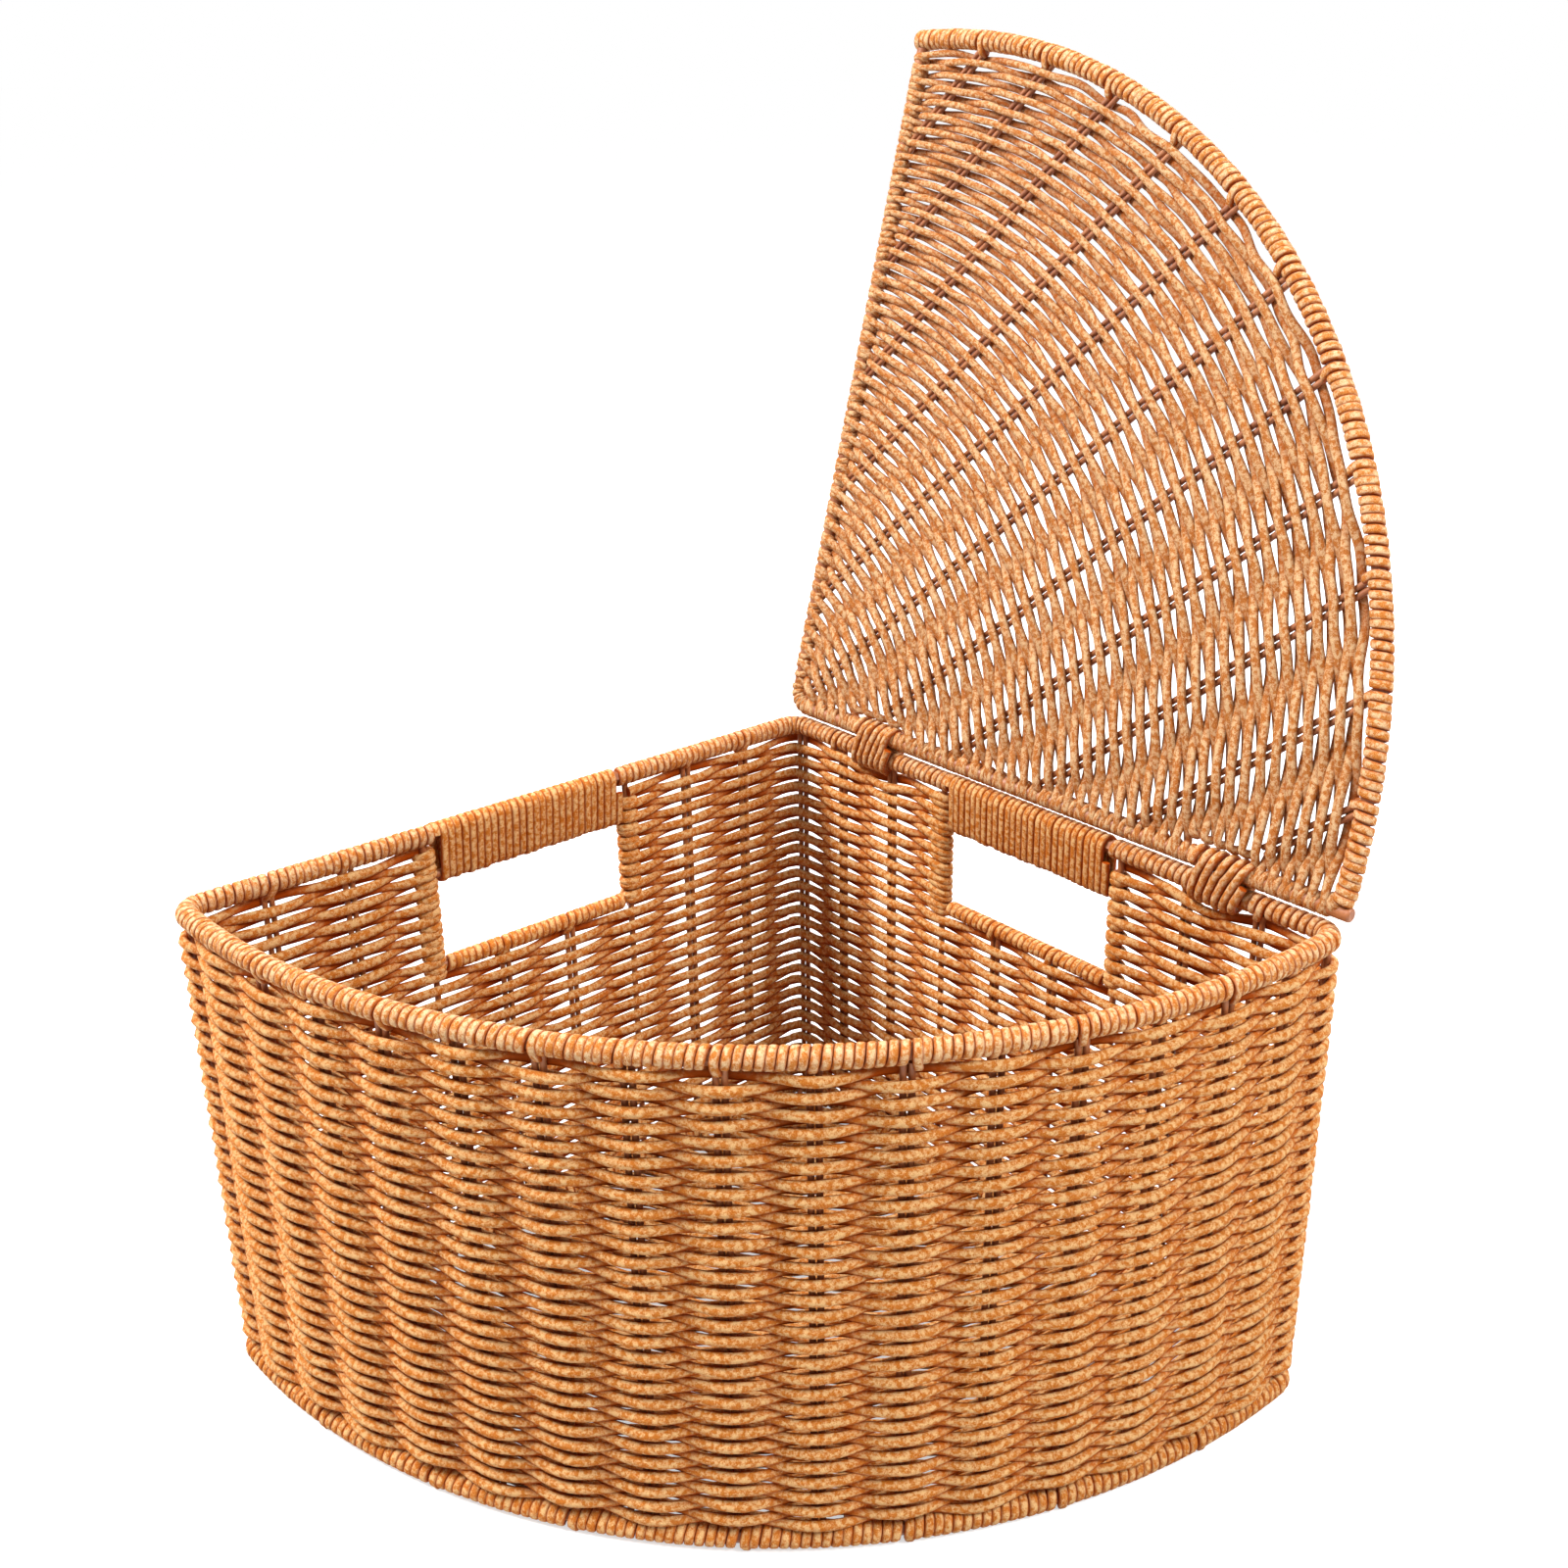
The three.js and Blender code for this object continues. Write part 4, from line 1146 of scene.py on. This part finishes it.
whole = [distance for number, distance in enumerate(stake_walk) if number not in AT_HANDLES]
stake_runs = [
    upright(distance + offset, STAKE_FOOT, STAKE_HEAD) for distance in whole for offset in PAIR
]
stake_solids = [f"corner_stake_{corner}" for corner in ("back", "right", "left")]
stake_solids += [f"{wall}_wall_stake_{k}" for wall in ("hinge", "side") for k in (1, 2, 7, 8)]
stake_solids += [f"front_stake_{k:02d}" for k in range(1, FRONT_STEPS)]
mesh = strand_mesh("wall_stakes", stake_runs, STAKE)
add_piece("wall_stakes", mesh, brown, "basket", stake_solids)

for wall, place_on in (("hinge", on_hinge_wall), ("side", on_side_wall)):
    first, last = place_on(NEAR_JAMB), place_on(FAR_JAMB)
    short = [place_on(k * WALL_STEP) + offset for k in (4, 5) for offset in PAIR]
    frame_runs = [upright(place, STAKE_FOOT, STAKE_HEAD) for place in (first, last)]
    frame_runs += [level_bar(first, last, height) for height in (SILL_Z, RAIL_Z)]
    frame_runs += [upright(place, STAKE_FOOT, SILL_Z) for place in short]
    frame_radii = [JAMB_RADIUS] * 2 + [RAIL_RADIUS] * 2 + [STAKE / 2] * 4
    mesh = strand_mesh(f"{wall}_frame", frame_runs, ONE_MM_TUBE, radii=frame_radii)
    add_piece(f"{wall}_frame", mesh, brown, "basket", [f"{wall}_wall_handle_frame"])

# %% [markdown]
# ## Lid rods
# The lid's stakes are pairs of the same wire as in the walls. They fan out from its two straight
# edges to the arc, and one bent rod makes both edges. The rod ends bare at the corner, with its end
# rounded off by a shrinking radius, and the arc's bar shows a stub at its other end. Beside a
# binding a stake starts further in, so that the turns have room.

# %% Lid rods
WINDOW_HALF = 15.5
STAKE_ROOM, BINDING_ROOM, BESIDE_WINDOW = 1.0, 11.8, 8.9
TIP_SHORT = 2.0
ROD_PAST, ROD_ROUNDING, SIDE_SHORT = (4.0, 4.6, 5.0), (0.92, 0.7), 4.0
STUB_SHORT, STUB_ROUNDING = (LID_ARC_PAST + 2.0, 0.6, 0.0), (1.0, 1.0, 0.75)
HALF_STEPS = LID_STEPS // 2
fan_stakes = []
for number in range(1, LID_STEPS):
    from_corner = abs(HALF_STEPS - number) / HALF_STEPS * SIDE
    foot = np.array([from_corner, 0.0] if number < HALF_STEPS else [0.0, -from_corner])
    fan_stakes.append((foot, lid_arc_plan(CORNER_ANGLE - ARC_SWEEP * number / LID_STEPS)))

rod_runs = []
for foot, tip in fan_stakes:
    reach = (tip - foot) / np.linalg.norm(tip - foot)
    beside_window = [abs(foot[0] - place) < WINDOW_HALF + BESIDE_WINDOW for place in BINDINGS]
    near_binding = foot[1] == 0 and any(beside_window)
    start = foot + reach * (BINDING_ROOM / abs(reach[1]) if near_binding else STAKE_ROOM)
    beside = np.array([-reach[1], reach[0]])
    for offset in PAIR:
        ends = np.array([start, tip - reach * TIP_SHORT]) + offset * beside
        rod_runs.append(lid_to_metres(np.column_stack([ends, np.zeros(2)])))
mesh = strand_mesh("lid_stakes", rod_runs, STAKE)
stake_solids = [f"lid_stake_{k:02d}" for k in range(1, LID_STEPS)]
add_piece("lid_stakes", mesh, brown, "lid", stake_solids)

turn = np.linspace(math.pi, math.pi / 2, 9)
corner = np.column_stack([BEND + BEND * np.cos(turn), -BEND + BEND * np.sin(turn)])
rod_end = [[SIDE + past, 0.0] for past in ROD_PAST]
edge = np.concatenate([[[0.0, SIDE_SHORT - SIDE]], corner, rod_end])
rounding = np.concatenate([np.ones(len(edge) - len(ROD_ROUNDING)), ROD_ROUNDING])
stub = lid_arc_plan(LID_TURN - (lid_arc_length - np.array(STUB_SHORT)) / ARC_RADIUS)
rod_lines = [lid_to_metres(np.column_stack([plan, np.zeros(len(plan))])) for plan in (edge, stub)]
mesh = strand_mesh("lid_edge_rod", rod_lines, BAR, sides=16, radii=[rounding, STUB_ROUNDING])
add_piece("lid_edge_rod", mesh, brown, "lid", ["lid_edge_bar"])

# %% [markdown]
# ## The fan of the lid: sizes of the rows
# The lid is one cord that goes to and fro between its two straight edges. Near the corner a row is
# almost straight; towards the arc the rows swell until they run beside it. Scaled copies of one row
# would bulge as much in the corner as at the arc. So a row is an arc of a circle whose opening
# grows with its size, and the sizes are chosen so that the rows keep their pitch on the diagonal.

# %% Sizes of the fan's rows
FAN_LEAST, FAN_GROWTH = 12, 36
SIZE_FROM, SIZE_TO, SIZE_STEPS = 6, SIDE * 1.06, 3000


def fan_half(size):
    return math.radians(FAN_LEAST + FAN_GROWTH * size / SIDE)


def fan_sizes(first, last, pitches):
    """Where the rows meet the edges, so that the rows keep their pitch on the diagonal."""
    sizes = np.linspace(SIZE_FROM, SIZE_TO, SIZE_STEPS)
    reach = np.array([s / math.sqrt(2) * (1 + math.tan(fan_half(s) / 2)) for s in sizes])
    places, marks = [first], (first, (first + last) / 2, last)
    while places[-1] < last:
        places.append(places[-1] + np.interp(places[-1], marks, pitches))
    places = first + (np.array(places) - first) * (last - first) / (places[-1] - first)
    return [float(size) for size in np.interp(places, reach, sizes)]


print("the outermost row opens to", round(2 * math.degrees(fan_half(SIDE))), "degrees")

# %% [markdown]
# ## The fan of the lid: over and under
# Where a row crosses a stake it goes over or under, and between stakes a cosine joins the two, as
# in the walls. The stakes of a fan aren't parallel, so their places along a row can't be read from
# a list. They are looked up where the row changes from one side of a stake to the other.

# %% One row of a fan
ROW_POINTS, ROW_STEP, ROW_END = 721, 3.6, 0.8
ON_STAKE_FROM, ON_STAKE_TO = 0.02, 1.05


def stake_knots(plan, gone, number):
    """Where a row crosses the stakes, and whether it goes over or under."""
    knots = []
    for stake, (foot, tip) in enumerate(fan_stakes, start=1):
        line, rest = tip - foot, plan - foot
        side = line[0] * rest[:, 1] - line[1] * rest[:, 0]
        for i in np.flatnonzero(np.sign(side[:-1]) != np.sign(side[1:])):
            if ON_STAKE_FROM < rest[i] @ line / (line @ line) < ON_STAKE_TO:
                share = side[i] / (side[i] - side[i + 1])
                knots.append((gone[i] + share * (gone[i + 1] - gone[i]), (-1) ** (stake + number)))
    return sorted(knots)


def fan_row(size, number, swing_by, edge_by, keep, waver):
    half = fan_half(size)
    radius = size / math.sqrt(2) / math.sin(half)
    psi = np.linspace(-half, half, ROW_POINTS)
    bulge = radius * (np.cos(psi) - math.cos(half)) + waver(radius * psi)
    sideways = radius * np.sin(psi)
    x = size / 2 + (bulge + sideways) / math.sqrt(2)
    y = -size / 2 + (sideways - bulge) / math.sqrt(2)
    plan, gone = np.column_stack([x, y]), radius * (psi + half)
    knots = stake_knots(plan, gone, number)
    marks = np.array([0.0] + [place for place, _ in knots] + [gone[-1]])
    at_start, at_end = -knots[0][1] * edge_by, -knots[-1][1] * edge_by
    height = np.array([at_start] + [over * swing_by for _, over in knots] + [at_end])
    kept = np.flatnonzero(keep(plan, number))
    low, high = gone[kept[0]], gone[kept[-1]]
    steps = [max(3, math.ceil((b - a) / ROW_STEP)) for a, b in zip(marks[:-1], marks[1:])]
    stations = [np.linspace(a, b, n + 1)[:-1] for a, b, n in zip(marks[:-1], marks[1:], steps)]
    stations = np.concatenate(stations + [[gone[-1]]])
    inside = (stations > low + ROW_END) & (stations < high - ROW_END)
    stations = np.concatenate([[low], stations[inside], [high]])
    after = np.clip(np.searchsorted(marks, stations, side="right"), 1, len(marks) - 1)
    share = (stations - marks[after - 1]) / (marks[after] - marks[after - 1])
    first, second = height[after - 1], height[after]
    z = (first + second) / 2 + (first - second) / 2 * np.cos(math.pi * share)
    return np.column_stack([np.interp(stations, gone, x), np.interp(stations, gone, y), z])


print("a fan's row has a point about every", ROW_STEP, "mm")

# %% [markdown]
# ## The fan of the lid: turning back
# At an edge the cord takes two and a half turns round the rod before the next row starts, which
# covers the rod. Where a binding needs room, a row turns back before it gets there, flat in the
# plane of the weave. Loops could be added as pieces of their own; drawn as points between two rows,
# they keep the fan one cord.

# %% Turns at the edges
EDGE_TIGHT = 0.65
EDGE_HALF_TURNS, EDGE_OVERLAP = 5, 0.42


def flat_turn(before, after, heading):
    """A turn back inside the plane of the weave."""
    angle = np.linspace(0, math.pi, 6)[1:-1, None]
    middle, step = (before + after) / 2, (after - before) / 2
    out = np.array([*heading, 0.0]) * np.linalg.norm(step[:2])
    return middle - step * np.cos(angle) + out * np.sin(angle)


def rod_turn(before, after, on_hinge):
    """Turns round an edge rod, spread so that the next row's turns follow without a gap."""
    sign = 1 if before[2] > 0 else -1
    share = np.linspace(0, 1, HALF_TURN_STEPS * EDGE_HALF_TURNS + 1)[1:-1]
    angle = sign * math.pi * (0.5 - EDGE_HALF_TURNS * share)
    radius = abs(before[2])
    out, z = radius * np.cos(angle), radius * np.sin(angle)
    out = np.where(out > 0, EDGE_TIGHT * out, out)
    axis = 0 if on_hinge else 1
    first, last = before[axis], after[axis]
    over = EDGE_OVERLAP * (last - first)
    along = np.interp(share, (0, 0.2, 0.8, 1), (first, first - over, last + over, last))
    return np.column_stack([along, out, z] if on_hinge else [-out, along, z])


print("edge turns go", EDGE_HALF_TURNS / 2, "times round the rod")

# %% [markdown]
# ## The fan of the lid: the whole cord
# Rows and turns are now strung together, every second row backwards, as the weaver's hand goes. A
# thickness goes with every point, because the cord is thinner in its tight turns. The rows of lid
# and floor differ in where they stop, where they turn back flat and how full they are, so these
# rules are handed in as functions.

# %% The whole cord of a fan
FLAT_TURN_FULL, EDGE_FULL, FULL_AFTER = 0.9, 0.82, 4
FAN_SEED = 71
LEAST_APART = 0.05
ROW_WANDERS, LAST_ROWS = (0.5, 0.5, 1.1), 5


def fan_cord(sizes, swing_by, edge_by, keep, turned_back, fullness):
    """One cord to and fro over the rows, and its thickness at each point. `keep` says which part of
    a row is woven, `turned_back` which rows stop short of a rod and `fullness` how thick a row is
    along its way. The last rows wander most."""
    chance.seed(FAN_SEED)
    line, thickness = [], []
    marks = (0, len(sizes) - LAST_ROWS, len(sizes) - 1)
    wander = np.interp(np.arange(len(sizes)), marks, ROW_WANDERS)
    for number, size in enumerate(sizes):
        row = fan_row(size, number, swing_by, edge_by, keep, Waver(wander[number]))
        if number % 2:
            row = row[::-1]
        if line:
            on_hinge = number % 2 == 1
            before, after = line[-1][-1], row[0]
            if turned_back(number - 1, on_hinge) or turned_back(number, on_hinge):
                heading = before[:2] - line[-1][-2][:2]
                line.append(flat_turn(before, after, heading / np.linalg.norm(heading)))
                thickness.append(np.full(len(line[-1]), FLAT_TURN_FULL))
            else:
                line.append(rod_turn(before, after, on_hinge))
                thickness.append(np.full(len(line[-1]), EDGE_FULL))
        line.append(row)
        ends = np.minimum(np.arange(len(row)), np.arange(len(row))[::-1])
        thickness.append(np.interp(ends, (0, FULL_AFTER), (EDGE_FULL, 1.0)) * fullness(row, number))
    line, thickness = np.concatenate(line), np.concatenate(thickness)
    steps = np.linalg.norm(np.diff(line, axis=0), axis=1)
    apart = np.concatenate([[True], steps > LEAST_APART])
    return line[apart], thickness[apart]


print("a cord is", EDGE_FULL, "of its thickness where it turns round a rod")

# %% [markdown]
# ## The lid's weave: loose rows
# The lid is woven more loosely than the walls, and daylight shows through it in slanting slots. A
# see-through material could only hint at them. Here they are real gaps: the cord is slim, and
# slimmer still towards the far end of the side edge, where the photograph shows most light. Beside
# a binding the rows stop short.

# %% Rules of the lid's rows
LID_CORD, LID_FLAT, LID_SWING = 4.3, 0.74, 2.6
LID_FIRST, LID_SHORT, LID_PITCHES = 10.0, 8.8, (3.6, 3.8, 3.8)
WINDOW_DEEP, WINDOW_MARGIN, PAST_EDGE = -9.6, 1.5, 1.0
LOOSE_ANGLE, LOOSE_ANGLES, LOOSE_SIZE, LOOSE_SIZES = 30, 45, 90, 140
CLOSE_ROWS, CLOSE_MORE = 50, 0.16
LID_FULL, LOOSE_LESS, STAKE_LESS = 1.06, 0.27, 0.06
LID_REACH = ARC_RADIUS + ARC_INSET * math.sqrt(2)
lid_sizes = fan_sizes(LID_FIRST, LID_REACH - LID_SHORT, LID_PITCHES)


def in_window(number):
    half = WINDOW_HALF - WINDOW_MARGIN
    return any(abs(lid_sizes[number] - place) < half for place in BINDINGS)


def lid_turned_back(number, on_hinge):
    if not on_hinge:
        return False
    partner = number + 1 if number % 2 == 0 else number - 1
    return any(in_window(n) for n in (number, partner) if 0 <= n < len(lid_sizes))


def lid_keep(plan, number):
    return plan[:, 1] < (WINDOW_DEEP if lid_turned_back(number, True) else PAST_EDGE)


def lid_fullness(row, number):
    """The cord is pulled thin where it bends over a stake. The rows lie close in the corner and
    along the hinge edge, and looser towards the far end of the side edge."""
    from_hinge = np.degrees(np.arctan2(-row[:, 1], row[:, 0]))
    turned = np.clip((from_hinge - LOOSE_ANGLE) / LOOSE_ANGLES, 0, 1)
    loose = turned * np.clip((lid_sizes[number] - LOOSE_SIZE) / LOOSE_SIZES, 0, 1)
    close = np.interp(number, (0, CLOSE_ROWS), (CLOSE_MORE, 0.0))
    over_stake = np.clip((row[:, 2] * LID_FLAT / LID_SWING) ** 2, 0, 1)
    return (LID_FULL + close - LOOSE_LESS * loose) * (1 - STAKE_LESS * over_stake)


print("lid has", len(lid_sizes), "rows")

# %% [markdown]
# ## The lid's weave: wraps and cord
# The turns of the rows leave the edge rod bare in a few places. There the weaver covers it with
# plain wraps: at the corner, on both sides of a binding and at the rod's end. They could be
# windings of their own. They are the same cord, so they go into the same piece, which is then
# pressed flat and turned up in one rule.

# %% Lid weave
LID_EDGE = 3.4
CORNER_WRAP, END_WRAP_FROM, END_WRAP_TO = 11.5, 2.5, 1.5
WINDOW_WRAPS = ((-20, -9), (9, 20))


def edge_wrap(first, last, turns):
    """Plain turns round an edge rod, from one distance along the walk to another."""
    angle = np.linspace(0, 2 * math.pi * turns, 12 * turns + 1)
    out = LID_EDGE * np.cos(angle)
    x, y = walk(np.linspace(first, last, len(angle)), np.where(out > 0, EDGE_TIGHT * out, out))
    return np.column_stack([x, y, LID_EDGE * np.sin(angle)])


def lid_up(x, y, z):
    return lid_to_metres(np.column_stack([x, y, LID_FLAT * z]))


line, thickness = fan_cord(
    lid_sizes, LID_SWING / LID_FLAT, LID_EDGE, lid_keep, lid_turned_back, lid_fullness,
)
wraps = [edge_wrap(on_side_wall(CORNER_WRAP) - ROUND, on_hinge_wall(CORNER_WRAP), 6)]
end_from, end_to = lid_sizes[-1] + END_WRAP_FROM, SIDE - END_WRAP_TO
wraps += [edge_wrap(on_hinge_wall(end_from), on_hinge_wall(end_to), 2)]
for place in BINDINGS:
    for first, last in WINDOW_WRAPS:
        wraps.append(edge_wrap(on_hinge_wall(place + first), on_hinge_wall(place + last), 3))
lid_lines = [run / 1000 for run in [line] + wraps]
lid_radii = [thickness] + [EDGE_FULL] * len(wraps)
# Lid rows are painted darker as shade inside the weave and on their flanks.
lid_painted_shade = weave_painted_shade(LID_SWING / LID_FLAT, 2, 1, 0.5, 0.0)
mesh = strand_mesh("lid_rows", lid_lines, LID_CORD, radii=lid_radii, painted_shade_depth=lid_painted_shade)
bend_mesh(mesh, lid_up)
add_piece("lid_rows", mesh, lid_paper, "lid", ["lid_weave"])

# %% [markdown]
# ## The floor's weave
# The basket's floor is woven as a fan too, inside the wound base bar, and hardly shows: a few
# specks of light between the front's rows come through it. It uses the lid's functions, with rows
# that all turn back before the bar.

# %% Floor weave
FLOOR_CORD, FLOOR_SWING = 4.2, 2.6
FLOOR_EDGE = 8.2
FLOOR_FIRST, FLOOR_SHORT, FLOOR_PITCHES = 22.0, 7.6, (4.3, 3.9, 3.6)
floor_sizes = fan_sizes(FLOOR_FIRST, LID_REACH - FLOOR_SHORT, FLOOR_PITCHES)


def floor_keep(plan, number):
    return (plan[:, 1] < -FLOOR_EDGE) & (plan[:, 0] > FLOOR_EDGE)


def always_turned_back(number, on_hinge):
    return True


def floor_fullness(row, number):
    return pressed(row[:, 2], FLOOR_SWING)


line, thickness = fan_cord(
    floor_sizes, FLOOR_SWING, FLOOR_SWING, floor_keep, always_turned_back, floor_fullness,
)
mesh = strand_mesh("floor_rows", [to_metres(line + [0, 0, BASE_Z])], FLOOR_CORD, radii=[thickness])
add_piece("floor_rows", mesh, weave_paper, "basket", ["base_weave"])
print("floor has", len(floor_sizes), "rows")
